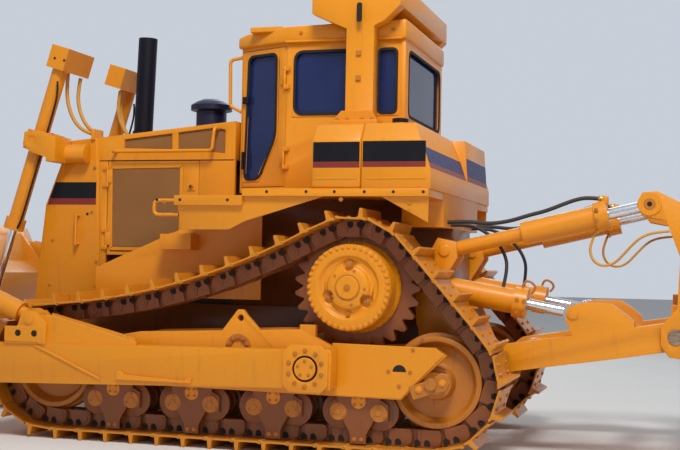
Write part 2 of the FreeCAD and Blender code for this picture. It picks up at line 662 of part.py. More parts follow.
bar_side = [("guard_top_x - 40", "guard_top_z - 110"), ("guard_top_x + 22", "guard_top_z - 110"),
            ("guard_mid_x - 25", "guard_mid_z"), ("guard_low_x - 28", "hull_high + 90"),
            ("guard_low_x - 90", "hull_high + 90"), ("guard_mid_x - 90", "guard_mid_z")]
for step in range(-5, 6):
    bars.append(plate("xz", bar_side, f"{step} * 88 - 16", f"{step} * 88 + 16"))
node("radiator_grille", group(*bars))

# Hinges: knuckles on one pin line, which lies outside the surface at y
def hinge(x, y, heights, door_side):
    """Knuckles of a door that lies on the given side of x, and the fixed ones above and below each."""
    moving, fixed = [], []

    def along(start, end):
        """Pair of x values, turned round for a door on the other side."""
        pair = (f"{x} + ({start})", f"{x} + ({end})")
        return pair if door_side == "+" else (f"{x} - ({end})", f"{x} - ({start})")

    for z in heights:
        moving += [bar("z", (x, f"{y} + hinge_out"), "hinge_radius", f"{z} - 60", f"{z} + 60"),
                   block(along("0", "45"), (f"{y} - 5", f"{y} + hinge_out"), (f"{z} - 60", f"{z} + 60"))]
        for low, high in ((f"{z} - 100", f"{z} - 60 - seat_gap"), (f"{z} + 60 + seat_gap", f"{z} + 100")):
            fixed += [bar("z", (x, f"{y} + hinge_out"), "hinge_radius", low, high),
                      block(along("-50", "-6"), (f"{y} - 25", f"{y} + hinge_out"), (low, high)),
                      block(along("-8", "0"), (f"{y} + 6", f"{y} + hinge_out"), (low, high))]
    return moving, fixed


# Hood with two screens in each side and a fixed panel beside the cab
hood_side = [("hood_rear_x", "hood_split"), ("hood_rear_x", "hood_rear_z"),
             ("guard_rear + 32", "hood_front_z"), ("guard_rear", "hood_split")]
screens = []
for shape in ([("3195", "2629"), ("3190", "2713"), ("2701", "2763"), ("2696", "2614")],
              [("2640", "2615"), ("2640", "2771"), ("2261", "2811"), ("2166", "2790"), ("2166", "2572")]):
    screens.append(plate("xz", shape, "house_half - screen_deep", "house_half + 10"))
screens = group(*screens)
hinge_x = "hull_front - 60"
DOOR_HEIGHTS = ("door_low + 150", "hood_split - 150")
engine_knuckles, engine_hinges = hinge(hinge_x, "house_half", DOOR_HEIGHTS, "-")
GUARD_EDGE = ("hull_front + (guard_rear - hull_front) * (door_low - 100 - hull_high)"
              " / (hood_split - hull_high)")
front_panel = fuse(
    plate("xz", [(f"{hinge_x} + 8", "door_low - 100"), (f"{hinge_x} + 8", "hood_split"),
                 ("guard_rear", "hood_split"),
                 (GUARD_EDGE, "door_low - 100")], "house_half - door_thick", "house_half"), *engine_hinges)
side_panel = plate("xz", [("hood_rear_x", "door_low - 230"), ("hood_rear_x", "hood_split"),
                          ("door_rear - side_gap", "hood_split"), ("door_rear - side_gap", "door_low - 230")],
                   "house_half - door_thick", "house_half")
hood = cut(fuse(plate("xz", hood_side, "-house_half", "house_half"), side_panel, mirrored(side_panel),
                front_panel, mirrored(front_panel)),
           screens, mirrored(screens))
node("hood", hood)

# Engine doors: hinged at the front edge, each with a sunk screen
door_shape = [("door_rear", "door_low + 315"), ("door_rear", "hood_split - side_gap"),
              (hinge_x, "hood_split - side_gap"), (hinge_x, "door_low"), ("3070", "door_low"),
              ("2600", "door_low + 230")]
sunk = [("door_rear + 160", "door_low + 285"), ("door_rear + 160", "hood_split - 75"),
        (f"{hinge_x} - 35", "hood_split - 75"), (f"{hinge_x} - 35", "door_low + 28"),
        ("3085", "door_low + 28"),
        ("2620", "door_low + 255")]
engine_door = fuse(
    cut(plate("xz", door_shape, "house_half - door_thick", "house_half"),
        plate("xz", sunk, "house_half - screen_deep", "house_half + 10")),
    *engine_knuckles)
node("engine_door_left", engine_door)
node("engine_door_right", mirrored(engine_door))

# Stack and precleaner stand on the sloping hood
STACK_FOOT, STACK_TOP = ("stack_x", "2650"), ("stack_top_x", "stack_high")
stack = cut(aimed(fuse(
    bar("x", ("stack_y", "0"), "stack_radius", "0", span(STACK_FOOT, STACK_TOP)),
    bar("x", ("stack_y", "0"), "stack_radius + 12", "0", "230")), STACK_FOOT, STACK_TOP),
    plate("xz", hood_side, "-house_half", "house_half"), plate("xz", guard_side, "-guard_half", "guard_half"))
node("exhaust_stack", stack)
cleaner = cut(wheel([("2700", "0"), ("2700", "cleaner_radius"), ("cleaner_high - 125", "cleaner_radius"),
                     ("cleaner_high - 110", "cleaner_brim"), ("cleaner_high - 60", "cleaner_brim"),
                     ("cleaner_high - 25", "cleaner_radius"), ("cleaner_high", "cleaner_radius - 60"),
                     ("cleaner_high", "0")], "z", "cleaner_x", "cleaner_y", "0"),
              plate("xz", hood_side, "-house_half", "house_half"))
node("air_precleaner", cleaner)

# Fenders: a decked platform over each track with skirts below its edge
SKIRT_OUT = "deck_out - 40"
front_skirt = [("deck_front - 15", "step_high - step_thick"), ("2220", "1842"), ("1784", "1846"),
               ("1650", "1915"), ("951", "deck_high - deck_thick"), ("deck_step", "deck_high - deck_thick"),
               ("deck_step", "step_high - step_thick")]
rear_skirt = [("461", "deck_high - deck_thick"), ("deck_rear + 5", "1918"),
              ("deck_rear + 5", "deck_high - deck_thick")]
engine_guard = [("3330", "hull_high + 60"), ("3330", "1500"), ("2600", "1812"),
                ("2033", "step_high - step_thick"), ("1700", "step_high - step_thick"),
                ("1700", "hull_high + 60")]
fender = fuse(
    block(("deck_rear", "deck_step"), ("deck_in", "deck_out"), ("deck_high - deck_thick", "deck_high")),
    block(("deck_step", "deck_front"), ("house_half + 20", "deck_out"),
          ("step_high - step_thick", "step_high")),
    plate("xz", front_skirt, f"{SKIRT_OUT} - 16", SKIRT_OUT),
    plate("xz", rear_skirt, f"{SKIRT_OUT} - 16", SKIRT_OUT),
    plate("xz", engine_guard, "deck_in - 30", "deck_in - 10"),
    block(("2300", "2600"), ("deck_in - 20", "deck_in + 180"), ("1674", "1812")))
node("fenders", fender, mirrored(fender))

# Tanks: side tanks before the split, the fuel tank round the back of the cab
side_tank_end = [("tank_in", "deck_high"), ("tank_in", "tank_high"), ("tank_out - tank_lean", "tank_high"),
                 ("tank_out", "tank_bend"), ("tank_out", "deck_high")]
side_tank = plate("yz", side_tank_end, "tank_split + 4", "tank_front")
node("side_tanks", side_tank, mirrored(side_tank))
wing_end = [("tank_in", "deck_high"), ("tank_in", "tank_high"), ("tank_out - tank_lean", "tank_high"),
            ("tank_out", "tank_bend"), ("tank_out", "deck_high")]
fuel_wing = plate("yz", wing_end, "cab_rear", "tank_split - 4")
rear_side = [("cab_rear", "deck_high"), ("cab_rear", "tank_high"), ("tank_rear + 150", "tank_high"),
             ("tank_rear + 66", "tank_bend - 50"), ("tank_rear", "2340"), ("tank_rear", "deck_high")]
rear_cut = plate("yz", [("-tank_out", "deck_high"), ("-tank_out", "tank_bend"),
                        ("-tank_out + tank_lean", "tank_high"), ("tank_out - tank_lean", "tank_high"),
                        ("tank_out", "tank_bend"), ("tank_out", "deck_high")], "-60", "cab_rear")
rear_whole = doc.addObject("Part::Common", "rear_tank")
rear_whole.Base = plate("xz", rear_side, "-tank_out", "tank_out")
rear_whole.Tool = rear_cut
bulge_side = [("cab_rear", "deck_high"), ("cab_rear", "tank_high"), ("tank_rear + 30", "tank_high"),
              ("tank_rear", "2340"), ("tank_rear", "deck_high")]
bulge = plate("xz", bulge_side, "-tank_out + tank_lean + 20", "-200")
foot = block(("tank_rear + 10", "cab_rear"), ("-deck_in + side_gap", "deck_in - side_gap"),
             ("tank_low", "deck_high"))
node("fuel_tank", fuse(rear_whole, bulge, fuel_wing, mirrored(fuel_wing), foot))

# Cab: one hollow shell with narrowing front corners
def cab_plan(inset):
    """Plan of the cab, drawn in by an inset."""
    return [(f"cab_rear + {inset}", f"-cab_half + {inset}"),
            (f"cab_corner - {inset} / 3", f"-cab_half + {inset}"),
            (f"cab_front - {inset}", f"-cab_nose + {inset}"), (f"cab_front - {inset}", f"cab_nose - {inset}"),
            (f"cab_corner - {inset} / 3", f"cab_half - {inset}"),
            (f"cab_rear + {inset}", f"cab_half - {inset}")]


DOOR_TURN = "atan2(cab_half - cab_nose; cab_front - cab_corner)"
DOOR_LENGTH = "sqrt((cab_half - cab_nose)^2 + (cab_front - cab_corner)^2)"


def door_set(solid):
    """Sets a piece drawn along X from the hinge into the left door's slanting plane."""
    moved = doc.addObject("Part::Compound", "door_set")
    moved.Links = [solid]
    moved.Placement = Placement(Vector(), Rotation(Vector(0, 0, -1), 20))
    bind(moved, "Placement.Rotation.Angle", DOOR_TURN)
    bind(moved, "Placement.Base.x", "cab_corner")
    bind(moved, "Placement.Base.y", "cab_half")
    return moved


doorway = door_set(block(("12", f"{DOOR_LENGTH} - 12"), ("-cab_wall - 40", "40"),
                         ("cab_low + 45", "lintel_low + 35")))
side_windows = [
    plate("xz", [(low, "sill_high"), (high, "sill_high"), (high, "lintel_low"), (low, "lintel_low")],
          "cab_half - cab_wall - 20", "cab_half + 20")
    for low, high in (("475", "680"), ("770", "1450"))]
rear_window = block(("cab_rear - 20", "cab_rear + cab_wall + 20"), ("-cab_half + 95", "cab_half - 95"),
                    ("sill_high - 20", "lintel_low"))
front_window = block(("cab_front - cab_wall - 20", "cab_front + 20"), ("-cab_nose + 60", "cab_nose - 60"),
                     ("sill_high + 30", "lintel_low"))
openings = group(doorway, *side_windows)
DOOR_START = "12 + side_gap"
cab_knuckles, cab_hinges = hinge(DOOR_START, "0", ("cab_low + 300", "lintel_low - 250"), "+")
hinge_post = door_set(fuse(*cab_hinges))
shell_body = cut(
    plate("xy", cab_plan("0"), "cab_low", "cab_high"),
    plate("xy", cab_plan("cab_wall"), "cab_low + 40", "cab_high + 10"),
    openings, mirrored(openings), rear_window, front_window)
node("cab_shell", fuse(shell_body, hinge_post, mirrored(hinge_post)))

panes = [block((low, high), ("cab_half - 30", "cab_half - 30 + glass_thick"), ("sill_high", "lintel_low"))
         for low, high in (("475", "680"), ("770", "1450"))]
panes = group(*panes)
node("cab_glass", panes, mirrored(panes),
     block(("cab_rear + 20", "cab_rear + 20 + glass_thick"), ("-cab_half + 95", "cab_half - 95"),
           ("sill_high - 20", "lintel_low")),
     block(("cab_front - 30", "cab_front - 30 + glass_thick"), ("-cab_nose + 60", "cab_nose - 60"),
           ("sill_high + 30", "lintel_low")))

# Cab doors: hinged at the rear edge, one tall pane with a cut corner
door_panel = [(DOOR_START, "cab_low + 45 + side_gap"),
              (f"{DOOR_LENGTH} - 12 - side_gap", "cab_low + 45 + side_gap"),
              (f"{DOOR_LENGTH} - 12 - side_gap", "lintel_low + 35 - side_gap"),
              (DOOR_START, "lintel_low + 35 - side_gap")]
door_window = [("330", "cab_low + 100"), (f"{DOOR_LENGTH} - 42", "cab_low + 100"),
               (f"{DOOR_LENGTH} - 75", "lintel_low"),
               ("115", "lintel_low"), ("100", "lintel_low - 90"), ("105", "cab_low + 480")]
cab_door = door_set(fuse(
    cut(plate("xz", door_panel, "-cab_wall + 10", "0"), plate("xz", door_window, "-cab_wall", "10")),
    *cab_knuckles))
door_pane = door_set(plate("xz", door_window, "-25", "-25 + glass_thick"))
for side, solid, pane in ((LEFT, cab_door, door_pane), (RIGHT, mirrored(cab_door), mirrored(door_pane))):
    node("cab_door_" + side, solid)
    node("door_glass_" + side, pane)

# Roof with a stepped visor
roof_side = [("cab_rear - 15", "cab_high"), ("cab_rear - 15", "roof_high - 12"),
             ("cab_corner", "roof_high - 40"),
             ("cab_front - 90", "roof_high - 55"), ("cab_front + roof_rim", "cab_high + 100"),
             ("cab_front + roof_rim", "cab_high")]
roof = doc.addObject("Part::Common", "roof")
roof.Base = plate("xz", roof_side, "-cab_half - roof_rim", "cab_half + roof_rim")
roof.Tool = plate("xy", cab_plan("(-roof_rim)"), "cab_high", "roof_high")
node("cab_roof", roof)

# Seat and consoles, seen through the glass
CAB_FLOOR = "cab_low + 40"
node("operator_seat",
     fuse(block(("700", "1120"), ("-240", "240"), (CAB_FLOOR, f"{CAB_FLOOR} + 300")),
          block(("660", "1180"), ("-260", "260"), (f"{CAB_FLOOR} + 300", f"{CAB_FLOOR} + 430")),
          plate("xz", [("660", f"{CAB_FLOOR} + 430"), ("800", f"{CAB_FLOOR} + 430"),
                       ("740", f"{CAB_FLOOR} + 1060"), ("620", f"{CAB_FLOOR} + 1060")], "-230", "230")),
     *[block(("700", "1250"), (low, high), (CAB_FLOOR, f"{CAB_FLOOR} + 560"))
       for low, high in (("310", "480"), ("-480", "-310"))])
node("dashboard", block(("cab_front - cab_wall - 260", "cab_front - cab_wall"), ("-380", "380"),
                        (CAB_FLOOR, "sill_high + 10")))

# Roll-over structure: two posts, a cross box above the roof and rounded end plates
POST_IN, POST_OUT = "post_y - post_thick / 2", "post_y + post_thick / 2"
end_plate = [("bar_rear", "bar_low"), ("bar_rear", "bar_high"), ("bar_front", "bar_high"),
             ("bar_front", "bar_low - 50"),
             ("post_front + 140", "ear_low + 60"), ("post_front", "ear_low"), ("post_rear + 40", "ear_low"),
             ("post_rear - 90", "ear_low + 60")]
ends = group(plate("xz", end_plate, POST_IN, POST_OUT),
             block(("post_rear", "post_front"), (POST_IN, POST_OUT), ("tank_high + 65", "ear_low + 30")),
             block(("post_rear - 55", "post_front + 90"), (f"{POST_IN} + 5", f"{POST_OUT} + 60"),
                   ("tank_high", "tank_high + 65")))
node("rollover_bar", fuse(block(("bar_rear", "bar_front"), (f"-({POST_IN})", POST_IN),
                                ("bar_low", "bar_high")),
                          fuse(*ends.Links), mirrored(fuse(*ends.Links))))

# Push arms with the tilt cylinders' brackets
arm_shape = [("776", "arm_rear_low"), ("1165", "arm_rear_low"), ("3787", "arm_front_low"),
             ("4560", "arm_front_low + 30"),
             ("pitch_x - 112", "pitch_z - 60"), ("pitch_x - 112", "pitch_z + 60"),
             ("4500", "arm_front_high - 30"),
             ("3787", "arm_front_high"), ("1165", "arm_rear_high"), ("1150", "arm_rear_high + 14"),
             ("776", "arm_rear_high + 14")]
tilt_ear = [("3330", "840"), ("3730", "836"), ("3600", "tilt_foot_z - 50"), ("3560", "tilt_foot_z + 70"),
            ("3440", "tilt_foot_z + 70"), ("3330", "tilt_foot_z - 40")]
cap_shape = [(f"trunnion_x {across} cap_half {cut_x}", f"trunnion_z {up} cap_half {cut_z}")
             for across, cut_x, up, cut_z in (("-", "+ 60", "-", ""), ("+", "- 60", "-", ""),
                                              ("+", "", "-", "+ 60"),
                                              ("+", "", "+", "- 60"), ("+", "- 60", "+", ""),
                                              ("-", "+ 60", "+", ""),
                                              ("-", "", "+", "- 60"), ("-", "", "-", "+ 60"))]
EAR_IN, EAR_OUT = "eye_width / 2 + side_gap", "eye_width / 2 + side_gap + ear_thick"
push_arm = cut(fuse(
    plate("xz", arm_shape, ARM_IN, ARM_OUT),
    plate("xz", cap_shape, ARM_OUT, f"{ARM_OUT} + cap_thick"),
    bar("y", ("pitch_x", "pitch_z"), "pitch_pin + 55", f"{ARM_Y} - eye_width / 2",
        f"{ARM_Y} + eye_width / 2"),
    block(("4600", "4720"), (f"{ARM_Y} - eye_width / 2", f"{ARM_Y} + eye_width / 2"),
          ("pitch_z - 55", "pitch_z + 55")),
    plate("xz", [("2530", "850"), ("2530", "913"), ("3320", "1100"), ("3320", "840")], f"{ARM_Y} - 20",
          f"{ARM_Y} + 20"),
    plate("xz", tilt_ear, f"{ARM_Y} - ({EAR_OUT})", f"{ARM_Y} - ({EAR_IN})"),
    plate("xz", tilt_ear, f"{ARM_Y} + {EAR_IN}", f"{ARM_Y} + {EAR_OUT}"),
    bar("y", ("tilt_foot_x", "tilt_foot_z"), "tilt_rod", f"{ARM_Y} - ({EAR_OUT}) - 10",
        f"{ARM_Y} + {EAR_OUT} + 10")),
    bar("y", ("trunnion_x", "trunnion_z"), "trunnion_radius + fit_gap", f"{ARM_IN} - 5",
        f"{ARM_OUT} + 2 * cap_thick"),
    bar("y", ("pitch_x", "pitch_z"), "pitch_pin + fit_gap", f"{ARM_IN} - 5", f"{ARM_OUT} + 5"))
node("push_arms", push_arm, mirrored(push_arm))

# Diagonal brace from the right push arm to the middle of the blade, on the blade's pivot axis
brace_root = Vector(number("brace_root_x") - 120, -number(ARM_IN) - 70, number("pitch_z"))
brace_end = Vector(number("pitch_x"), number("brace_eye_y"), number("pitch_z"))
brace_tube = shaped("brace_tube", Part.makeCylinder(
    number("brace_radius"), (brace_end - brace_root).Length, brace_root, brace_end - brace_root))
node("diagonal_brace", cut(
    fuse(brace_tube, bar("y", ("pitch_x", "pitch_z"), "pitch_pin + 45",
                         "brace_eye_y - eye_width / 2", "brace_eye_y + eye_width / 2")),
    bar("y", ("pitch_x", "pitch_z"), "pitch_pin + fit_gap", "brace_eye_y - eye_width",
        "brace_eye_y + eye_width"),
    block(("brace_root_x - 400", "brace_root_x + 400"), (f"-({ARM_OUT})", f"-({ARM_IN})"),
          ("pitch_z - 300", "pitch_z + 300"))))


# Blade: a curved moldboard with wings, ribs and box beams behind, and ears for what moves it
def blade_section(front, y, reach):
    """Closed wire of the moldboard's section at y, shifted forward by reach."""
    def at(spot, back=0):
        return Vector(spot[0] + reach - back, y, spot[1])

    top, belly, knee, foot = front
    skin = number("skin_thick")
    edges = [
        Part.Arc(at(top), at(belly), at(knee)).toShape(), Part.LineSegment(at(knee), at(foot)).toShape(),
        Part.LineSegment(at(foot), at(foot, skin)).toShape(),
        Part.LineSegment(at(foot, skin), at(knee, skin)).toShape(),
        Part.Arc(at(knee, skin), at(belly, skin), at(top, skin)).toShape(),
        Part.LineSegment(at(top, skin), at(top)).toShape()]
    return Part.Wire(edges)


MOLDBOARD = [(number("blade_top_x"), number("blade_high")),
             (number("blade_belly_x"), number("blade_belly_z")),
             (number("knee_x"), number("knee_z")), (number("knee_x") + 65, number("knee_z") - 130)]
flat, half, reach = number("blade_flat"), number("blade_half"), number("wing_reach")
sections = {y: blade_section(MOLDBOARD, y, reach if abs(y) > flat else 0) for y in (-half, -flat, flat, half)}
moldboard = shaped("moldboard", Part.Face(sections[-flat]).extrude(Vector(0, 2 * flat, 0)))
wings = shaped("wings", Part.makeCompound([
    Part.makeLoft([sections[-half], sections[-flat]], True, True),
    Part.makeLoft([sections[flat], sections[half]], True, True)]))

lower_beam = plate("xz", [("beam_back_x", "170"), ("beam_back_x", "640"), ("blade_belly_x - 10", "700"),
                          ("knee_x - 30", "knee_z"), ("knee_x", "200")], "-blade_flat", "blade_flat")
upper_beam = plate("xz", [("beam_back_x + 90", "1120"), ("beam_back_x + 90", "1420"),
                          ("blade_belly_x + 20", "1560"),
                          ("blade_belly_x - 10", "1010")], "-blade_flat", "blade_flat")
rib_side = [("beam_back_x", "640"), ("beam_back_x + 90", "1120"), ("beam_back_x + 90", "1420"),
            ("blade_top_x - 70", "1880"), ("blade_top_x - 20", "1880"),
            ("blade_belly_x", "1300"),
            ("blade_belly_x - 10", "640")]
ribs = [plate("xz", rib_side, f"{y} - 20", f"{y} + 20") for y in ("-1360", "-450", "0", "450", "1360")]
lift_ear = [("beam_back_x + 60", "600"), ("lift_eye_x - 10", "lift_eye_z - 70"),
            ("lift_eye_x - 70", "lift_eye_z"),
            ("lift_eye_x - 10", "lift_eye_z + 70"), ("beam_back_x + 20", "1000"),
            ("blade_belly_x", "1000"),
            ("blade_belly_x", "600")]
arm_ear = [("pitch_x - 95", "pitch_z - 60"), ("pitch_x - 95", "pitch_z + 60"),
           ("pitch_x - 20", "pitch_z + 110"),
           ("blade_belly_x + 30", "860"), ("knee_x - 20", "knee_z"),
           ("knee_x - 60", "pitch_z - 230"),
           ("pitch_x - 20", "pitch_z - 110")]
top_ear = [("tilt_eye_x - 75", "tilt_eye_z - 40"), ("tilt_eye_x - 75", "tilt_eye_z + 40"),
           ("tilt_eye_x - 30", "tilt_eye_z + 80"),
           ("blade_belly_x + 80", "1780"), ("blade_belly_x + 10", "1250"),
           ("tilt_eye_x - 20", "tilt_eye_z - 80")]
mid_ear = [("pitch_x - 80", "pitch_z - 60"), ("pitch_x - 80", "pitch_z + 60"),
           ("beam_back_x + 20", "pitch_z + 20"),
           ("beam_back_x + 20", "pitch_z - 120")]
ears = []
# outline, middle, pin radius, pin place, pin goes through the eye
for shape, y, radius, spot, through in (
        (lift_ear, "lift_y", "lift_rod", ("lift_eye_x", "lift_eye_z"), False),
        (arm_ear, ARM_Y, "pitch_pin", ("pitch_x", "pitch_z"), True),
        (top_ear, ARM_Y, "tilt_rod", ("tilt_eye_x", "tilt_eye_z"), True)):
    for sign in ("-", "+"):
        low, high = sorted((f"{y} {sign} ({EAR_OUT})", f"{y} {sign} ({EAR_IN})"), key=number)
        ears.append(plate("xz", shape, low, high))
        low, high = sorted((f"{y} {sign} ({EAR_OUT} + 14)", f"{y} {sign} ({EAR_IN})"), key=number)
        ears.append(bar("y", spot, f"{radius} + 12", low, high))
    if through:
        ears.append(bar("y", spot, radius, f"{y} - ({EAR_OUT})", f"{y} + {EAR_OUT}"))
# the brace comes in from the right, so its pin stands on a single ear
brace_ears = [plate("xz", mid_ear, f"brace_eye_y + {EAR_IN}", f"brace_eye_y + {EAR_OUT} + 20"),
              bar("y", ("pitch_x", "pitch_z"), "pitch_pin", "brace_eye_y - eye_width / 2",
                  f"brace_eye_y + {EAR_OUT} + 34")]
blade_body = fuse(moldboard, *[shaped("wing", solid) for solid in wings.Shape.Solids], lower_beam,
                  upper_beam, *ribs,
                  *ears, *[mirrored(ear) for ear in ears], *brace_ears)
node("blade", blade_body)


def edge_section(y, reach):
    """Cutting edge bolted on the foot of the moldboard, cut level with the ground."""
    knee_x, knee_z = number("knee_x"), number("knee_z")
    run, drop = 65, 130
    low = number("edge_low")
    thick = number("edge_thick")
    tip_x = knee_x + (knee_z - low) * run / drop
    spots = [(knee_x, knee_z), (knee_x + thick, knee_z), (tip_x + thick, low), (tip_x, low)]
    spots = [Vector(x + reach, y, z) for x, z in spots]
    return Part.makePolygon(spots + spots[:1])


edges = [edge_section(-half, reach), edge_section(-flat, 0), edge_section(flat, 0), edge_section(half, reach)]
edge_solids = [Part.makeLoft([edges[0], edges[1]], True, True),
               Part.makeLoft([edges[1], edges[2]], True, True),
               Part.makeLoft([edges[2], edges[3]], True, True)]
node("cutting_edge", shaped("edge", edge_solids[0].fuse(edge_solids[1:]).removeSplitter()))


# Cylinders: each is built along X from its pivot and then aimed at its eye
def cylinder_pair(labels, foot, eye, y, along, radii, widths, play=None, trunnion=False):
    """Barrel with its pivot and a rod with its eye, on both sides of the machine.

    along: start of the bore, of the barrel, of the rod and end of the barrel. radii: barrel,
    neck before it, rod. widths: pivot eye, rod eye. play: bore of the rod's eye over its
    pin, or None where the pin's ends are in the ears alone.
    """
    bore, start, inner, end = along
    barrel, neck, rod = radii
    foot_half, eye_half = (f"{width} / 2" for width in widths)
    reach = span(foot, eye)
    body = [bar("x", (y, "0"), barrel, start, end),
            bar("x", (y, "0"), f"{barrel} + 24", f"{end} - 110", end)]
    bores = [bar("x", (y, "0"), f"{rod} + fit_gap", bore, f"{end} + 10")]
    if trunnion:
        collar = f"{barrel} + 22"
        body += [block((f"-({collar})", collar), (f"{y} - ({collar})", f"{y} + {collar}"),
                       (f"-({collar})", collar)),
                 bar("y", ("0", "0"), rod, f"{y} - ({collar}) - yoke_thick", f"{y} + {collar} + yoke_thick"),
                 block((f"{start} - head_long", start), (f"{y} - head_in", f"{y} + head_out"),
                       ("-head_half", "head_half"))]
    else:
        body += [bar("y", ("0", "0"), f"{rod} + 45", f"{y} - {foot_half}", f"{y} + {foot_half}"),
                 bar("x", (y, "0"), neck, f"{rod} + 10", start)]
        bores.append(bar("y", ("0", "0"), f"{rod} + fit_gap", f"{y} - {foot_half} - 5",
                         f"{y} + {foot_half} + 5"))
    made = aimed(cut(fuse(*body), *bores), foot, eye)
    rod_body = [bar("x", (y, "0"), rod, inner, reach),
                bar("y", (reach, "0"), f"{rod} + 38", f"{y} - {eye_half}", f"{y} + {eye_half}")]
    rod_made = fuse(*rod_body)
    if play is not None:
        rod_made = cut(rod_made,
                       bar("y", (reach, "0"), f"{rod} + {play}", f"{y} - {eye_half} - 5",
                           f"{y} + {eye_half} + 5"))
    rod_made = aimed(rod_made, foot, eye)
    for label, solid in zip(labels, (made, rod_made)):
        node(label, solid, mirrored(solid))


YOKE, LIFT_EYE = ("yoke_x", "yoke_z"), ("lift_eye_x", "lift_eye_z")
TILT_FOOT, TILT_EYE = ("tilt_foot_x", "tilt_foot_z"), ("tilt_eye_x", "tilt_eye_z")
RISE_FOOT, RISE_EYE = ("rise_foot_x", "rise_foot_z"), ("rise_eye_x", "rise_eye_z")
TIP_FOOT = ("tip_foot_x", "tip_foot_z")
TIP_EYE = ("tip_foot_x + ripper_beam_x - ripper_foot_x", "tip_foot_z + ripper_beam_z - ripper_foot_z")
cylinder_pair(("lift_barrels", "lift_rods"), YOKE, LIFT_EYE, "lift_y",
              ("-lift_above - 80", "-lift_above", "lift_sunk", "lift_below"),
              ("lift_barrel", "lift_barrel", "lift_rod"), ("eye_width", "eye_width"), trunnion=True)
cylinder_pair(("tilt_barrels", "tilt_rods"), TILT_FOOT, TILT_EYE, ARM_Y,
              ("180", "140", "tilt_sunk", "tilt_end"),
              ("tilt_barrel", "tilt_rod + 10", "tilt_rod"), ("eye_width", "eye_width"), "tilt_play")
cylinder_pair(("ripper_lift_barrels", "ripper_lift_rods"), RISE_FOOT, RISE_EYE, "ripper_y",
              ("115", "100", "rise_sunk", "rise_end"),
              ("rise_barrel", "rise_rod + 20", "rise_rod"), ("ripper_arm", "eye_width"))
cylinder_pair(("tip_barrels", "tip_rods"), TIP_FOOT, TIP_EYE, "ripper_y",
              ("tip_start + 40", "tip_start", "tip_sunk", "tip_end"),
              ("tip_barrel", "tip_neck", "tip_rod"), ("ripper_arm", "ripper_arm"))

# Yokes that hold the lift cylinders beside the radiator guard
CHEEK = "lift_barrel + 22 + side_gap"
yoke_side = [("yoke_x - 190", "yoke_z - 170"), ("yoke_x - 190", "yoke_z + 60"),
             ("yoke_x - 70", "yoke_z + 95"),
             ("yoke_x + 70", "yoke_z + 80"), ("yoke_x + 85", "yoke_z - 40"), ("yoke_x", "yoke_z - 110")]
yoke = cut(fuse(
    plate("xz", yoke_side, f"lift_y + {CHEEK}", f"lift_y + {CHEEK} + yoke_thick"),
    plate("xz", yoke_side, f"lift_y - ({CHEEK}) - yoke_thick", f"lift_y - ({CHEEK})"),
    block(("yoke_x - 260", "yoke_x - 160"),
          (f"lift_y - ({CHEEK}) - yoke_thick", f"lift_y + {CHEEK} + yoke_thick"),
          ("yoke_z - 200", "yoke_z + 40")),
    bar("x", ("lift_y - 105", "yoke_z - 110"), "90", "guard_rear + 90", "yoke_x - 200")),
    bar("y", ("yoke_x", "yoke_z"), "lift_rod + fit_gap", "lift_y - 260", "lift_y + 260"),
    plate("xz", guard_side, "-guard_half", "guard_half"))
node("lift_yokes", yoke, mirrored(yoke))

# Ripper brackets on the rear case
RIP_IN, RIP_OUT = "ripper_y - ripper_arm / 2", "ripper_y + ripper_arm / 2"
bracket_side = [("hull_rear", "ripper_foot_z - 90"), ("ripper_foot_x", "ripper_foot_z - 115"),
                ("ripper_foot_x - 100", "ripper_foot_z - 60"), ("ripper_foot_x - 115", "ripper_foot_z + 50"),
                ("ripper_foot_x + 20", "ripper_foot_z + 250"), ("rise_foot_x - 120", "rise_foot_z"),
                ("tip_foot_x - 110", "tip_foot_z - 60"), ("tip_foot_x - 100", "tip_foot_z + 70"),
                ("tip_foot_x + 60", "tip_foot_z + 110"), ("rise_foot_x + 110", "rise_foot_z + 40"),
                ("rise_foot_x + 80", "hull_high - 100"), ("hull_rear + 160", "hull_low")]
PLATE_IN, PLATE_OUT = "rise_barrel + side_gap", "rise_barrel + side_gap + ripper_plate"
plate_faces = [sorted((f"ripper_y {sign} ({PLATE_IN})", f"ripper_y {sign} ({PLATE_OUT})"),
                      key=number) for sign in "-+"]
bracket = fuse(
    *[plate("xz", bracket_side, low, high) for low, high in plate_faces],
    *[bar("y", spot, radius, f"ripper_y - ({PLATE_OUT}) - 14", f"ripper_y + {PLATE_OUT} + 14")
      for spot, radius in ((("ripper_foot_x", "ripper_foot_z"), "ripper_pin"), (RISE_FOOT, "rise_rod"),
                           (TIP_FOOT, "tip_rod"))],
    block(("hull_rear + 90", "rise_foot_x + 60"), ("hull_half", f"ripper_y + {PLATE_OUT}"),
          ("hull_low + 60", "hull_high - 120")))
node("ripper_bracket", bracket, mirrored(bracket))

# Ripper frame: two arms with raised cheeks that hold the lift rods, tied by two cross tubes
def on_arm(x, offset):
    """Height on the middle line of an arm's straight part at x, plus an offset."""
    return f"ripper_beam_z - ({x} - ripper_beam_x) * arm_fall + {offset}"


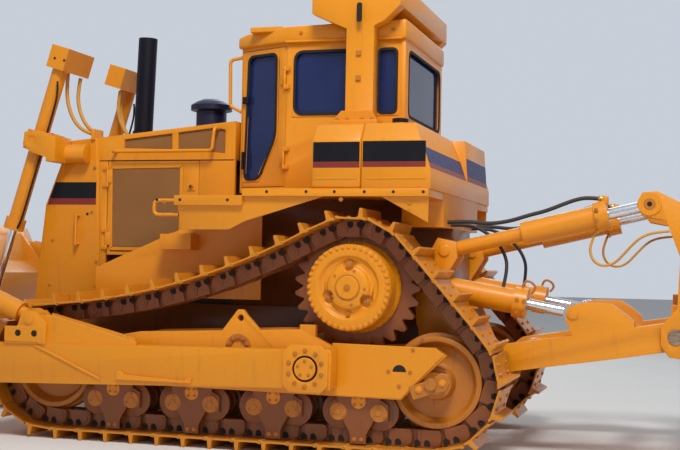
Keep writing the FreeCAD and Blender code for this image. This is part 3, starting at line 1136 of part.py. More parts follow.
arm_side = [("ripper_foot_x - 30", "ripper_foot_z - 100"), ("ripper_foot_x - 30", "ripper_foot_z + 100"),
            ("-430", on_arm("-430", "118")), ("-1040", on_arm("-1040", "118")),
            ("-1430", on_arm("-1430", "118")),
            ("ripper_beam_x + 20", "ripper_beam_z + 118"), ("ripper_beam_x + 20", "ripper_beam_z - 118"),
            ("-430", on_arm("-430", "-118"))]
hump_side = [("-1040", on_arm("-1040", "90")), ("rise_eye_x + 60", "rise_eye_z - 60"),
             ("rise_eye_x + 45", "rise_eye_z + 50"),
             ("rise_eye_x - 60", "rise_eye_z + 85"), ("-1330", "1290"), ("-1451", "1209"), ("-1523", "1146"),
             ("-1555", on_arm("-1555", "-118")), ("-1040", on_arm("-1040", "-118"))]
HUMP_IN = "ripper_arm / 2 - 30"
hump_gap = plate("xz", [("rise_eye_x + 260", on_arm("rise_eye_x + 260", "60")),
                        ("rise_eye_x + 260", "rise_eye_z + 300"),
                        ("-1340", "1500"), ("-1340", on_arm("-1340", "60"))],
                 f"ripper_y - ({HUMP_IN})", f"ripper_y + {HUMP_IN}")
ripper_side = cut(
    fuse(plate("xz", arm_side, RIP_IN, RIP_OUT), plate("xz", hump_side, RIP_IN, RIP_OUT),
         bar("y", ("ripper_foot_x", "ripper_foot_z"), "ripper_pin + 45", RIP_IN, RIP_OUT),
         bar("y", ("ripper_beam_x", "ripper_beam_z"), "ripper_boss", RIP_IN, RIP_OUT),
         bar("y", RISE_EYE, "rise_rod", f"{RIP_IN} - 14", f"{RIP_OUT} + 14")),
    hump_gap, *[bar("y", spot, "ripper_pin + fit_gap", f"{RIP_IN} - 5", f"{RIP_OUT} + 5")
                for spot in (("ripper_foot_x", "ripper_foot_z"), ("ripper_beam_x", "ripper_beam_z"))])
cross = [bar("y", (x, on_arm(x, "0")), "100", f"-({RIP_IN})", RIP_IN) for x in ("-560", "-1480")]
node("ripper_frame", fuse(ripper_side, mirrored(ripper_side), *cross))

beam_pin = bar("y", ("ripper_beam_x", "ripper_beam_z"), "ripper_pin",
               f"ripper_y - ({PLATE_OUT}) - 10", f"ripper_y + {PLATE_OUT} + 10")
node("ripper_pins", beam_pin, mirrored(beam_pin))

# Ripper beam: side plates from the arms' pins up to the tip rods, a cross box and a shank pocket
beam_x, beam_z = "ripper_beam_x", "ripper_beam_z"
tip_x, tip_z = (f"({value})" for value in TIP_EYE)
beam_plate = [(f"{beam_x} + 115", f"{beam_z} - 70"), (f"{beam_x} + 115", f"{beam_z} + 80"),
              (f"{beam_x} - 10", f"{beam_z} + 230"),
              (f"{beam_x} - 30", f"{beam_z} + 640"), (f"{tip_x} - 130", f"{tip_z} - 130"),
              (f"{tip_x} + 60", f"{tip_z} - 95"),
              (f"{tip_x} + 105", tip_z), (f"{tip_x} + 60", f"{tip_z} + 95"),
              (f"{tip_x} - 60", f"{tip_z} + 105"),
              (f"{beam_x} - 235", f"{beam_z} + 980"),
              (f"{beam_x} - 285", f"{beam_z} + 560"),
              (f"{beam_x} - 285", f"{beam_z} - 60"),
              (f"{beam_x} - 160", f"{beam_z} - 190"), (f"{beam_x} + 50", f"{beam_z} - 165")]
beam_parts = [plate("xz", beam_plate, low, high) for low, high in plate_faces]
for low, high in plate_faces:
    beam_parts.append(bar("y", TIP_EYE, "tip_rod + 20", low, high))
# the back web joins the two plates of a side behind everything that turns between them
beam_parts.append(plate("xz", [(f"{beam_x} - 190", f"{beam_z} + 160"), (f"{beam_x} - 190", f"{beam_z} + 560"),
                               (f"{beam_x} - 240", f"{beam_z} + 560"),
                               (f"{beam_x} - 240", f"{beam_z} + 160")],
                        f"ripper_y - ({PLATE_IN})", f"ripper_y + {PLATE_IN}"))
side_group = fuse(*beam_parts)
pocket = block((f"{beam_x} - shank_back", f"{beam_x} + shank_front"), ("-shank_half - 1", "shank_half + 1"),
               (f"{beam_z} - 400", f"{beam_z} + 600"))
beam = cut(
    fuse(side_group, mirrored(side_group),
         block((f"{beam_x} - 240", f"{beam_x} + 40"), (f"-ripper_y + {PLATE_IN}", f"ripper_y - ({PLATE_IN})"),
               (f"{beam_z} - 165", f"{beam_z} + 250")),
         block((f"{beam_x} - shank_back - 50", f"{beam_x} + 40"), ("-170", "170"),
               (f"{beam_z} - 200", f"{beam_z} + 330"))),
    pocket,
    *[bar("y", (beam_x, beam_z), "ripper_pin + fit_gap", f"{side} - 200",
          f"{side} + 200") for side in ("ripper_y", "-ripper_y")])
node("ripper_beam", beam)

shank_side = [(f"{beam_x} - shank_back", f"{beam_z} + 640"), (f"{beam_x} + shank_front", f"{beam_z} + 640"),
              (f"{beam_x} + shank_front", "700"), (f"{beam_x} - 60", "480"), (f"{beam_x} - 35", "tooth_low"),
              (f"{beam_x} - 90", "tooth_low"), (f"{beam_x} - 190", "380"), (f"{beam_x} - shank_back", "640")]
node("ripper_shank", plate("xz", shank_side, "-shank_half", "shank_half"))


# Grab rails of bent tube
def bent_tube(points, radius, bend):
    """Round tube through points (x, y, z), with an arc at every inner point."""
    spots = [Vector(*point) for point in points]
    edges, start = [], spots[0]
    for before, corner, after in zip(spots, spots[1:], spots[2:]):
        into, out = (before - corner).normalize(), (after - corner).normalize()
        half = math.acos(max(-1, min(1, into.dot(out)))) / 2
        cutoff = bend / math.tan(half)
        first, last = corner + into * cutoff, corner + out * cutoff
        middle = corner + (into + out).normalize() * (bend / math.sin(half) - bend)
        edges += [Part.LineSegment(start, first).toShape(), Part.Arc(first, middle, last).toShape()]
        start = last
    edges.append(Part.LineSegment(start, spots[-1]).toShape())
    path = Part.Wire(edges)
    ring = Part.Wire(Part.Circle(spots[0], spots[1] - spots[0], radius).toShape())
    return path.makePipeShell([ring], True, True)


house, nose, deck = number("house_half"), number("cab_nose"), number("deck_out")
rail_radius, rail_bend = number("rail_radius"), number("rail_bend")
front, platform = number("cab_front"), number("deck_front")
rails = [
    [(3270, house, 2590), (3270, house + 90, 2590), (2260, house + 90, 2590), (2240, house + 90, 2800),
     (2240, house, 2800)],
    [(front + 3, nose - 30, 3460), (front + 130, nose - 30, 3440), (front + 122, nose - 30, 3015),
     (front + 8, nose - 30, 2955)],
    [(platform, deck - 60, 2091), (platform + 210, deck - 60, 2091), (platform + 210, deck - 60, 1969),
     (platform - 20, deck - 60, 1969)]]
rails = group(*[shaped("rail", bent_tube(rail, rail_radius, rail_bend)) for rail in rails])
node("handrails", rails, mirrored(rails))

# Hoses: straight runs joined by arcs that touch them, each as wide as its shorter run allows
def hose(points, radius):
    """Tube along the points, and the radius of each of its bends."""
    spots = [Vector(*point) for point in points]
    edges, bends, start = [], [], spots[0]
    for before, corner, after in zip(spots, spots[1:], spots[2:]):
        into, out = before - corner, after - corner
        cutoff = 0.45 * min(into.Length, out.Length)
        into, out = into.normalize(), out.normalize()
        half = math.acos(max(-1, min(1, into.dot(out)))) / 2
        bend = cutoff * math.tan(half)
        middle = corner + (into + out).normalize() * (bend / math.sin(half) - bend)
        first, last = corner + into * cutoff, corner + out * cutoff
        edges += [Part.LineSegment(start, first).toShape(), Part.Arc(first, middle, last).toShape()]
        bends.append(round(bend))
        start = last
    edges.append(Part.LineSegment(start, spots[-1]).toShape())
    ring = Part.Wire(Part.Circle(spots[0], spots[1] - spots[0], radius).toShape())
    return Part.Wire(edges).makePipeShell([ring], True, True), bends


# name of the pair, size that is its radius, points of the left one
HOSES = [
    ("lift_hose_aft", "lift_hose",
     [(3742, 420, 3325), (3768, 421, 3190), (3752, 423, 3035), (3690, 430, 2905), (3610, 438, 2815),
      (3533, 441, 2779)]),
    ("lift_hose_fore", "lift_hose",
     [(3800.8, 560, 3355), (3810, 560, 3215), (3796, 558, 3060), (3742, 552, 2918), (3668, 546, 2830),
      (3600, 541, 2790), (3532, 541, 2768)]),
    ("tip_hose", "tip_hose",
     [(54.5, 620, 1950), (-110, 630, 1962), (-300, 640, 1937), (-480, 641, 1962), (-640, 640, 2014),
      (-790, 641, 2052), (-915, 640, 2103), (-1040, 641, 2150), (-1135, 640, 2165), (-1221, 641, 2156)]),
    ("tip_loop", "loop_hose",
     [(-1202, 640, 1880), (-1164, 655, 1790), (-1158, 680, 1697), (-1205, 700, 1617), (-1287, 717, 1593),
      (-1370, 730, 1625), (-1440, 740, 1700), (-1505, 750, 1775), (-1580, 758, 1842), (-1683, 764, 1878),
      (-1797, 768, 1886.6)]),
    ("rise_hose", "rise_hose",
     [(54.5, 480, 1930), (-90, 490, 1938), (-230, 505, 1890), (-350, 525, 1800), (-430, 550, 1690),
      (-463, 578, 1560), (-431.8, 615, 1405)])]
for label, size, points in HOSES:
    tube, bends = hose(points, number(size + "_radius"))
    tube = shaped(label, tube)
    print(label, "bends", bends)
    node(label + "_left", tube)
    node(label + "_right", mirrored(tube))

doc.recompute()
for thing in doc.Objects:
    if {"Invalid", "Error"} & set(thing.State):
        raise ValueError(f"{thing.Name} ({thing.Label}) did not build: {thing.State}")
os.makedirs("parts", exist_ok=True)
for piece in NODES:
    shape = piece.Shape
    if shape.isNull() or not shape.isValid() or not shape.Solids:
        raise ValueError(f"{piece.Label} has no valid solid")
    shape.exportStep(f"parts/{piece.Label}.step")
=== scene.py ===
"""Crawler bulldozer: detailed pieces, finishes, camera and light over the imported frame."""
import json
import math

import bpy
from mathutils import Matrix, Vector

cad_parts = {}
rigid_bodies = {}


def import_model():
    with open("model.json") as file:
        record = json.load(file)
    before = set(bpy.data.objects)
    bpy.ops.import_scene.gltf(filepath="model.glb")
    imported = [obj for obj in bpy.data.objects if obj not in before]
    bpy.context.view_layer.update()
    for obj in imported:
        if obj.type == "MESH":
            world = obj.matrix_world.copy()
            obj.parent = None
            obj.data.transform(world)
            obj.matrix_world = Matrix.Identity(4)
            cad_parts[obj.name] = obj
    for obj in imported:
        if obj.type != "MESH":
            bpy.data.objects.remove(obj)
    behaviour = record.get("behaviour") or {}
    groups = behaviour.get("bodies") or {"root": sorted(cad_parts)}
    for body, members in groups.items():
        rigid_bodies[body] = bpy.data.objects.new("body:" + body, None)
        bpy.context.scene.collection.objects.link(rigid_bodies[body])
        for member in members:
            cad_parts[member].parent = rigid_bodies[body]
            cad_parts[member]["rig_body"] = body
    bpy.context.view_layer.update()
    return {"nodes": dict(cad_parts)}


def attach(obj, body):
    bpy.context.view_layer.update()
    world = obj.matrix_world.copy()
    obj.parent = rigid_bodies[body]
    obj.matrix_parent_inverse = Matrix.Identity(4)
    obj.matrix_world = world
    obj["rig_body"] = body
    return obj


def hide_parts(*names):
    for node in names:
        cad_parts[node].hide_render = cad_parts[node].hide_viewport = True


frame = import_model()

# Camera: about 1.6 m above the ground on the machine's left, a little behind it,
# looking slightly forward. The angles and the lens come from the photograph.
cam_data = bpy.data.cameras.new("camera")
cam_data.sensor_width = 36
cam_data.lens = 36 * 1216 / 680
camera = bpy.data.objects.new("camera", cam_data)
bpy.context.scene.collection.objects.link(camera)
yaw, pitch, roll = math.radians(16.73), math.radians(1.92), math.radians(1.10)
forward = Vector((math.sin(yaw) * math.cos(pitch), -math.cos(yaw) * math.cos(pitch), math.sin(pitch)))
level = Vector((-math.cos(yaw), -math.sin(yaw), 0))
upright = level.cross(forward)
right = level * math.cos(roll) + upright * math.sin(roll)
up = upright * math.cos(roll) - level * math.sin(roll)
camera.matrix_world = Matrix.Translation((-2.073 - 1.9885, 10.934, 1.557)) @ Matrix(
    (right, up, -forward)).transposed().to_4x4()
bpy.context.scene.camera = camera
bpy.context.scene.view_settings.view_transform = "Standard"


# Materials are written as sums on sockets: a small class carries a socket and its tree.
class Socket:
    """A node's output, with arithmetic that adds Math nodes."""

    def __init__(self, shop, link):
        self.shop, self.link = shop, link

    def __add__(self, other):
        return self.shop.maths("ADD", self, other)

    def __sub__(self, other):
        return self.shop.maths("SUBTRACT", self, other)

    def __rsub__(self, other):
        return self.shop.maths("SUBTRACT", other, self)

    def __mul__(self, other):
        return self.shop.maths("MULTIPLY", self, other)

    def __lt__(self, other):
        return self.shop.maths("LESS_THAN", self, other)

    __radd__ = __add__
    __rmul__ = __mul__


class Finish:
    """One material and the nodes that make it."""

    def __init__(self, name, **constants):
        self.material = bpy.data.materials.new(name)
        self.material.use_nodes = True
        self.tree = self.material.node_tree
        self.shader = self.tree.nodes["Principled BSDF"]
        for socket, value in constants.items():
            self.shader.inputs[socket.replace("_", " ")].default_value = value
        self.place = Socket(self, self.tree.nodes.new("ShaderNodeTexCoord").outputs["Object"])

    def add(self, kind, out=0, settings=(), **inputs):
        """Adds a node: its settings first, then the values or links of its sockets."""
        node = self.tree.nodes.new("ShaderNode" + kind)
        for name, value in dict(settings).items():
            setattr(node, name, value)
        for name, value in inputs.items():
            socket = node.inputs[int(name[1:])] if name[1:].isdigit() else node.inputs[name.replace("_", " ")]
            if isinstance(value, Socket):
                self.tree.links.new(value.link, socket)
            else:
                socket.default_value = value
        return Socket(self, node.outputs[out])

    def maths(self, operation, first, second=0.0):
        return self.add("Math", settings={"operation": operation}, i0=first, i1=second)

    def noise(self, scale, detail=4.0, rough=0.55, place=None):
        return self.add("TexNoise", 0, Vector=place or self.place, Scale=scale, Detail=detail,
                        Roughness=rough)

    def blend(self, amount, under, over):
        """Colour mix: colours are tuples of three or sockets."""
        under, over = [(*c, 1) if isinstance(c, tuple) else c for c in (under, over)]
        return self.add("Mix", 2, {"data_type": "RGBA"}, Factor=amount, i6=under, i7=over)

    def step(self, value, low, high):
        """Rises from 0 to 1 between low and high."""
        return self.add("MapRange", 0, {"interpolation_type": "SMOOTHSTEP"}, Value=value, i1=low, i2=high)

    def feed(self, **inputs):
        for name, value in inputs.items():
            self.tree.links.new(value.link, self.shader.inputs[name.replace("_", " ")])

    def bump(self, height, depth):
        self.feed(Normal=self.add("Bump", 0, Height=height, Distance=depth, Strength=1.0))


# Hoses, made first: each leaves a barrel or the tank, hangs in its bend and goes back into
# the machine. Those of the lift cylinders and the loops wear a yellow sleeve, the rest are black.
rubber_hose = Finish("black_hose", Roughness=0.6)
hose_age = rubber_hose.noise(25.0)
rubber_hose.feed(Base_Color=rubber_hose.blend(hose_age, (0.012, 0.012, 0.013), (0.040, 0.034, 0.030)),
                 Roughness=hose_age * 0.2 + 0.5)
sleeve = Finish("yellow_sleeve", Roughness=0.55)
sleeve_age = sleeve.noise(18.0)
sleeve.feed(Base_Color=sleeve.blend(sleeve_age, (0.72, 0.34, 0.03), (0.50, 0.22, 0.03)),
            Roughness=sleeve_age * 0.2 + 0.5)
# name, diameter, hose's finish, points of the left one
HOSES = [
    ("lift_hose_aft", 0.036, sleeve,
     [(1.7535, 0.42, 3.325), (1.7795, 0.421, 3.19), (1.7635, 0.423, 3.035), (1.7015, 0.43, 2.905),
      (1.6215, 0.438, 2.815), (1.5445, 0.441, 2.779)]),
    ("lift_hose_fore", 0.036, sleeve,
     [(1.8123, 0.56, 3.355), (1.8215, 0.56, 3.215), (1.8075, 0.558, 3.06), (1.7535, 0.552, 2.918),
      (1.6795, 0.546, 2.83), (1.6115, 0.541, 2.79), (1.5435, 0.541, 2.768)]),
    ("tip_hose", 0.034, rubber_hose,
     [(-1.934, 0.62, 1.95), (-2.0985, 0.63, 1.962), (-2.2885, 0.64, 1.937), (-2.4685, 0.641, 1.962),
      (-2.6285, 0.64, 2.014), (-2.7785, 0.641, 2.052), (-2.9035, 0.64, 2.103), (-3.0285, 0.641, 2.15),
      (-3.1235, 0.64, 2.165), (-3.2095, 0.641, 2.156)]),
    ("tip_loop", 0.022, sleeve,
     [(-3.1905, 0.64, 1.88), (-3.1525, 0.655, 1.79), (-3.1465, 0.68, 1.697), (-3.1935, 0.7, 1.617),
      (-3.2755, 0.717, 1.593), (-3.3585, 0.73, 1.625), (-3.4285, 0.74, 1.7), (-3.4935, 0.75, 1.775),
      (-3.5685, 0.758, 1.842), (-3.6715, 0.764, 1.878), (-3.7855, 0.768, 1.8866)]),
    ("rise_hose", 0.03, rubber_hose,
     [(-1.934, 0.48, 1.93), (-2.0785, 0.49, 1.938), (-2.2185, 0.505, 1.89), (-2.3385, 0.525, 1.8),
      (-2.4185, 0.55, 1.69), (-2.4515, 0.578, 1.56), (-2.4203, 0.615, 1.405)])]
for label, diameter, finish, points in HOSES:
    for side, mirror in (("left", 1), ("right", -1)):
        data = bpy.data.curves.new(label, "CURVE")
        data.dimensions, data.bevel_depth, data.bevel_resolution, data.resolution_u = "3D", diameter / 2, 4, 10
        spline = data.splines.new("NURBS")
        spline.points.add(len(points) - 1)
        for point, (x, y, z) in zip(spline.points, points):
            point.co = (x, mirror * y, z, 1)
        spline.order_u, spline.use_endpoint_u = 3, True
        hose = bpy.data.objects.new(f"{label}_{side}_run", data)
        bpy.context.scene.collection.objects.link(hose)
        data.materials.append(finish.material)
        start = (points[0][0], mirror * points[0][1], points[0][2])
        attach(hose, "tip_barrels" if label.startswith("tip") else "machine")
        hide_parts(f"{label}_{side}")


def enamel(name, colour, dust=(0.40, 0.24, 0.10), grime=(0.20, 0.08, 0.015), wear=0.22):
    """Sprayed enamel on steel: faint orange peel, runs of grime, dust on faces that look up."""
    paint = Finish(name, Specular_IOR_Level=0.35, Coat_Roughness=0.18)
    facing = paint.add("SeparateXYZ", 2, Vector=paint.add("NewGeometry", "Normal"))
    broad, fine = paint.noise(0.9), paint.noise(14.0, 6.0)
    streaks = paint.noise(5.0, 5.0, 0.6, paint.add("Mapping", 0, Vector=paint.place, Scale=(3.0, 3.0, 0.35)))
    shade = paint.blend(broad, tuple(c * 0.90 for c in colour), tuple(min(1, c * 1.05) for c in colour))
    dirty = paint.blend(paint.step(streaks, 0.56, 0.80) * wear, shade, grime)
    dusty = paint.step(facing, 0.3, 0.95) * paint.step(fine, 0.35, 0.75) * 0.35
    paint.feed(Base_Color=paint.blend(dusty, dirty, dust), Roughness=fine * 0.16 + dusty * 0.35 + 0.33,
               Coat_Weight=0.25 - dusty * 0.3)
    paint.bump(paint.noise(160.0, 2.0) * 0.6 + fine * 0.4, 0.0012)
    return paint.material


YELLOW = (0.79, 0.275, 0.004)
tractor_paint = enamel("tractor_paint", YELLOW)


# Casings and weldments keep the outline of their frame solids: each is copied, its flat
# faces joined again and its edges rounded off, as sheared plate and castings are.
def eased(node, radius, material):
    sharp = math.radians(35)
    source = frame["nodes"][node]
    piece = source.copy()
    piece.data = source.data.copy()
    piece.name = node + "_eased"
    piece.data.materials.clear()
    bpy.context.scene.collection.objects.link(piece)
    bpy.ops.object.select_all(action="DESELECT")
    bpy.context.view_layer.objects.active = piece
    piece.select_set(True)
    bpy.ops.object.mode_set(mode="EDIT")
    bpy.ops.mesh.select_all(action="SELECT")
    bpy.ops.mesh.remove_doubles(threshold=0.0001)
    bpy.ops.mesh.dissolve_limited(angle_limit=math.radians(1.5))
    bpy.ops.object.mode_set(mode="OBJECT")
    bevel = piece.modifiers.new("edges", "BEVEL")
    bevel.width, bevel.segments, bevel.limit_method, bevel.angle_limit = radius, 2, "ANGLE", sharp
    bpy.ops.object.modifier_apply(modifier="edges")
    bpy.ops.object.shade_smooth_by_angle(angle=sharp)
    piece.data.materials.append(material)
    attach(piece, source["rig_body"])
    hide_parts(node)
    return piece


# node, radius of its edges in metres
for node, radius in (("track_frames", 0.010), ("push_arms", 0.012), ("radiator_guard", 0.020),
                     ("hood", 0.012), ("engine_door_left", 0.006), ("engine_door_right", 0.006), ("fenders",
                                                                                                  0.008),
                     ("side_tanks", 0.022), ("fuel_tank", 0.022), ("cab_shell", 0.010), ("cab_roof", 0.020),
                     ("cab_door_left", 0.006), ("cab_door_right", 0.006), ("rollover_bar",
                                                                           0.018), ("lift_yokes", 0.012),
                     ("ripper_bracket", 0.010), ("ripper_frame", 0.012), ("ripper_beam",
                                                                          0.012), ("ripper_shank", 0.010),
                     ("equaliser_bar", 0.010), ("blade", 0.006)):
    eased(node, radius, tractor_paint)
# the main frame, low under the machine between the tracks, gets a much darker enamel: its dark base colour is
# painted shade, with the enamel's grime streaks on it
shade_and_grime_paint = enamel("shade_and_grime_paint", (0.20, 0.060, 0.008), (0.16, 0.08, 0.03), (0.05, 0.022, 0.010), 0.6)
eased("main_frame", 0.012, shade_and_grime_paint)

# The frame pieces that show as they are get the enamel first, and some their own finish below
for piece in frame["nodes"].values():
    piece.data.materials.clear()
    piece.data.materials.append(tractor_paint)


# Finishes of the frame pieces that keep their own shape
stack_black = Finish("black_enamel", Specular_IOR_Level=0.18)
soot = stack_black.noise(9.0, 5.0)
stack_black.feed(Base_Color=stack_black.blend(soot, (0.002, 0.002, 0.007), (0.008, 0.007, 0.014)),
                 Roughness=soot * 0.3 + 0.35)
stack_black.bump(stack_black.noise(140.0), 0.0006)
navy = Finish("navy_plastic", Specular_IOR_Level=0.35)
haze = navy.noise(12.0, 5.0)
navy.feed(Base_Color=navy.blend(haze, (0.004, 0.006, 0.030), (0.014, 0.015, 0.050)),
          Roughness=haze * 0.3 + 0.25)
navy.bump(navy.noise(90.0), 0.0006)
tinted = Finish("tinted_glass", Specular_IOR_Level=0.3, Coat_Weight=0.1)
smear = tinted.noise(3.0, 5.0)
tinted.feed(Base_Color=tinted.blend(smear, (0.008, 0.014, 0.070), (0.022, 0.040, 0.160)),
            Alpha=smear * 0.12 + 0.70,
            Roughness=smear * 0.08 + 0.03)
chrome = Finish("rod_chrome", Metallic=1.0)
honed = chrome.noise(50.0, 3.0)
chrome.feed(Base_Color=chrome.blend(honed, (0.62, 0.60, 0.60), (0.80, 0.80, 0.82)),
            Roughness=honed * 0.15 + 0.08)
chrome.bump(honed, 0.0002)
weave = Finish("seat_cloth", Roughness=0.9)
threads = [weave.maths("SINE", weave.add("SeparateXYZ", k, Vector=weave.place) * 900.0) for k in (0, 1, 2)]
cloth = threads[0] * threads[1] * threads[2]
weave.feed(Base_Color=weave.blend(cloth * 0.5 + 0.5, (0.020, 0.020, 0.024), (0.050, 0.048, 0.052)))
weave.bump(cloth, 0.001)
moulding = Finish("black_moulding", Roughness=0.6)
grain = moulding.noise(200.0, 2.0)
moulding.feed(Base_Color=moulding.blend(moulding.noise(4.0), (0.015, 0.015, 0.016), (0.035, 0.032, 0.030)),
              Roughness=grain * 0.2 + 0.5)
moulding.bump(grain, 0.0008)
iron = Finish("dark_iron", Roughness=0.7)
rust = iron.noise(8.0, 6.0)
iron.feed(Base_Color=iron.blend(rust, (0.020, 0.018, 0.017), (0.070, 0.042, 0.025)),
          Roughness=rust * 0.3 + 0.5)
iron.bump(iron.noise(70.0), 0.002)
bare = Finish("bare_steel", Metallic=0.9)
scratch = bare.noise(14.0, 8.0, 0.7, bare.add("Mapping", 0, Vector=bare.place, Scale=(1.0, 0.4, 6.0)))
bare.feed(Base_Color=bare.blend(bare.step(scratch, 0.4, 0.7), (0.26, 0.15, 0.08), (0.40, 0.36, 0.32)),
          Roughness=scratch * 0.4 + 0.25)
bare.bump(scratch, 0.002)
# finish, nodes that carry it
for finish, nodes in (
        (stack_black, "exhaust_stack radiator_grille"), (navy, "air_precleaner"), (moulding, "dashboard"),
        (tinted, "cab_glass door_glass_left door_glass_right"), (weave, "operator_seat"), (iron,
                                                                                           "engine_block"),
        (chrome, "lift_rods tilt_rods ripper_lift_rods tip_rods"), (bare, "cutting_edge ripper_pins")):
    for node in nodes.split():
        frame["nodes"][node].data.materials.clear()
        frame["nodes"][node].data.materials.append(finish.material)


# Working the stock: every piece is cut, turned or bent and has its place in its own mesh.
def select_only(*pieces):
    bpy.ops.object.select_all(action="DESELECT")
    for piece in pieces:
        piece.select_set(True)
    bpy.context.view_layer.objects.active = pieces[0]


def bevelled(piece, width):
    if width:
        edges = piece.modifiers.new("edges", "BEVEL")
        edges.width, edges.segments, edges.limit_method = width, 1, "ANGLE"
        edges.angle_limit = math.radians(40)
        select_only(piece)
        bpy.ops.object.modifier_apply(modifier="edges")
    return piece


def slab(name, outline, low, high, material, bevel=0.0, corners=0.0, band=0.0):
    """Plate cut to an outline of (x, z) between y = low and y = high.

    corners rounds its outline, and band leaves only a frame of that width.
    """
    bpy.ops.object.select_all(action="DESELECT")
    bpy.ops.mesh.primitive_circle_add(vertices=len(outline), fill_type="NGON")
    piece = bpy.context.object
    piece.name = name
    for vertex, (x, z) in zip(piece.data.vertices, outline):
        vertex.co = (x, low, z)
    bpy.ops.object.mode_set(mode="EDIT")
    bpy.ops.mesh.select_all(action="SELECT")
    if corners:
        bpy.ops.mesh.bevel(affect="VERTICES", offset=corners, segments=4)
        bpy.ops.mesh.select_all(action="SELECT")
    if band:
        bpy.ops.mesh.inset(thickness=band)
        bpy.ops.mesh.delete(type="FACE")
        bpy.ops.mesh.select_all(action="SELECT")
    bpy.ops.mesh.extrude_region_move(TRANSFORM_OT_translate={"value": (0, high - low, 0)})
    bpy.ops.mesh.select_all(action="SELECT")
    bpy.ops.mesh.normals_make_consistent(inside=False)
    bpy.ops.object.mode_set(mode="OBJECT")
    piece.data.materials.append(material)
    return bevelled(piece, bevel)


def crate(name, x, y, z, material, bevel=0.0):
    """Block between pairs of limits."""
    return slab(name, [(x[0], z[0]), (x[1], z[0]), (x[1], z[1]), (x[0], z[1])], *y, material, bevel)


def rod(name, centre, axis, radius, length, material, sides=16, bevel=0.0):
    """Round or hexagonal bar about a centre, along X, Y or Z."""
    turn = {"x": (0, math.pi / 2, 0), "y": (math.pi / 2, 0, 0), "z": (0, 0, 0)}[axis]
    bpy.ops.object.select_all(action="DESELECT")
    bpy.ops.mesh.primitive_cylinder_add(vertices=sides, radius=radius, depth=length, location=centre,
                                        rotation=turn)
    piece = bpy.context.object
    piece.name = name
    bpy.ops.object.transform_apply()
    piece.data.materials.append(material)
    bevelled(piece, bevel)
    select_only(piece)
    bpy.ops.object.shade_smooth_by_angle(angle=math.radians(35))
    return piece


def joined(name, pieces):
    select_only(*pieces)
    bpy.ops.object.join()
    pieces[0].name = name
    return pieces[0]


def copied(piece, matrix):
    """A copy with its own mesh, moved by a matrix in the mesh itself."""
    twin = piece.copy()
    twin.data = piece.data.copy()
    twin.data.transform(matrix)
    if matrix.determinant() < 0:
        twin.data.flip_normals()
    bpy.context.scene.collection.objects.link(twin)
    return twin


def studs(name, spots, axis, radius, height, material):
    """Hexagon heads on washers, centred on the spots (x, y, z)."""
    head = rod("head", (0, 0, 0), axis, radius, height, material, 6, height * 0.12)
    plate = rod("washer", (0, 0, 0), axis, radius * 1.35, height * 0.45, material, 12)
    pattern = joined(name, [head, plate])
    copies = [copied(pattern, Matrix.Translation(spot)) for spot in spots]
    bpy.data.objects.remove(pattern)
    return joined(name, copies)


OTHER_SIDE = Matrix.Scale(-1, 4, (0, 1, 0))


def paired(name, pieces, body="machine", *nodes):
    """Joins the left side's pieces and their mirrored copies into one piece on a body."""
    left = joined(name, pieces)
    both = joined(name, [left, copied(left, OTHER_SIDE)])
    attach(both, body)
    if nodes:
        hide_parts(*nodes)
    return both


# Track chain: forged links with two windows each, bushings, and single-lug shoes. A shoe is
# rolled from one bar with its lug and a curled lip that laps the next; four bolts hold it.
PITCH, SHOES, WHEEL_RADIUS, DRIVE_RADIUS, TRACK_Y = 0.2421, 43, 0.474, 0.512, 1.125
REAR_WHEEL, FRONT_WHEEL, DRIVE_WHEEL = Vector((-1.9885, 0.628)), Vector((1.4815, 0.628)), Vector((-1.2815,
                                                                                                  1.381))


def chain_runs(sag):
    """Runs of the pin line for a sag radius: length, centre or start, radius, first angle, turn."""
    step = DRIVE_WHEEL - FRONT_WHEEL
    near, far = WHEEL_RADIUS + sag, DRIVE_RADIUS + sag
    along = (near ** 2 - far ** 2 + step.length ** 2) / (2 * step.length)
    unit = step.normalized()
    middle = FRONT_WHEEL + unit * along + Vector((unit.y, -unit.x)) * math.sqrt(near ** 2 - along ** 2)
    leave = math.atan2(*(middle - FRONT_WHEEL).yx)
    meet = math.atan2(*(middle - DRIVE_WHEEL).yx)
    back = REAR_WHEEL - DRIVE_WHEEL
    down = math.atan2(back.y, back.x) - math.acos((DRIVE_RADIUS - WHEEL_RADIUS) / back.length) + 2 * math.pi
    straight = math.sqrt(back.length ** 2 - (DRIVE_RADIUS - WHEEL_RADIUS) ** 2)
    lift_off = DRIVE_WHEEL + Vector((math.cos(down), math.sin(down))) * DRIVE_RADIUS
    return [((FRONT_WHEEL - REAR_WHEEL).length, REAR_WHEEL - Vector((0, WHEEL_RADIUS)), 0, 0, 0),
            (WHEEL_RADIUS * (leave + math.pi / 2), FRONT_WHEEL, WHEEL_RADIUS, -math.pi / 2, 1),
            (sag * abs(meet - leave), middle, sag, leave + math.pi, -1),
            (DRIVE_RADIUS * (down - meet), DRIVE_WHEEL, DRIVE_RADIUS, meet, 1),
            (straight, lift_off, 0, down + math.pi / 2, 0),
            (WHEEL_RADIUS * (1.5 * math.pi - down), REAR_WHEEL, WHEEL_RADIUS, down, 1)]


low, high = 1.5, 1000.0
for _ in range(50):
    sag_radius = math.sqrt(low * high)
    if sum(run[0] for run in chain_runs(sag_radius)) > PITCH * SHOES:
        low = sag_radius
    else:
        high = sag_radius
pins = []
for count in range(SHOES):
    left = count * sum(run[0] for run in chain_runs(low)) / SHOES
    for length, spot, radius, angle, turn in chain_runs(low):
        if left <= length:
            break
        left -= length
    angle += turn * left / radius if radius else 0
    reach = radius or left
    pins.append(spot + Vector((math.cos(angle), math.sin(angle))) * reach)

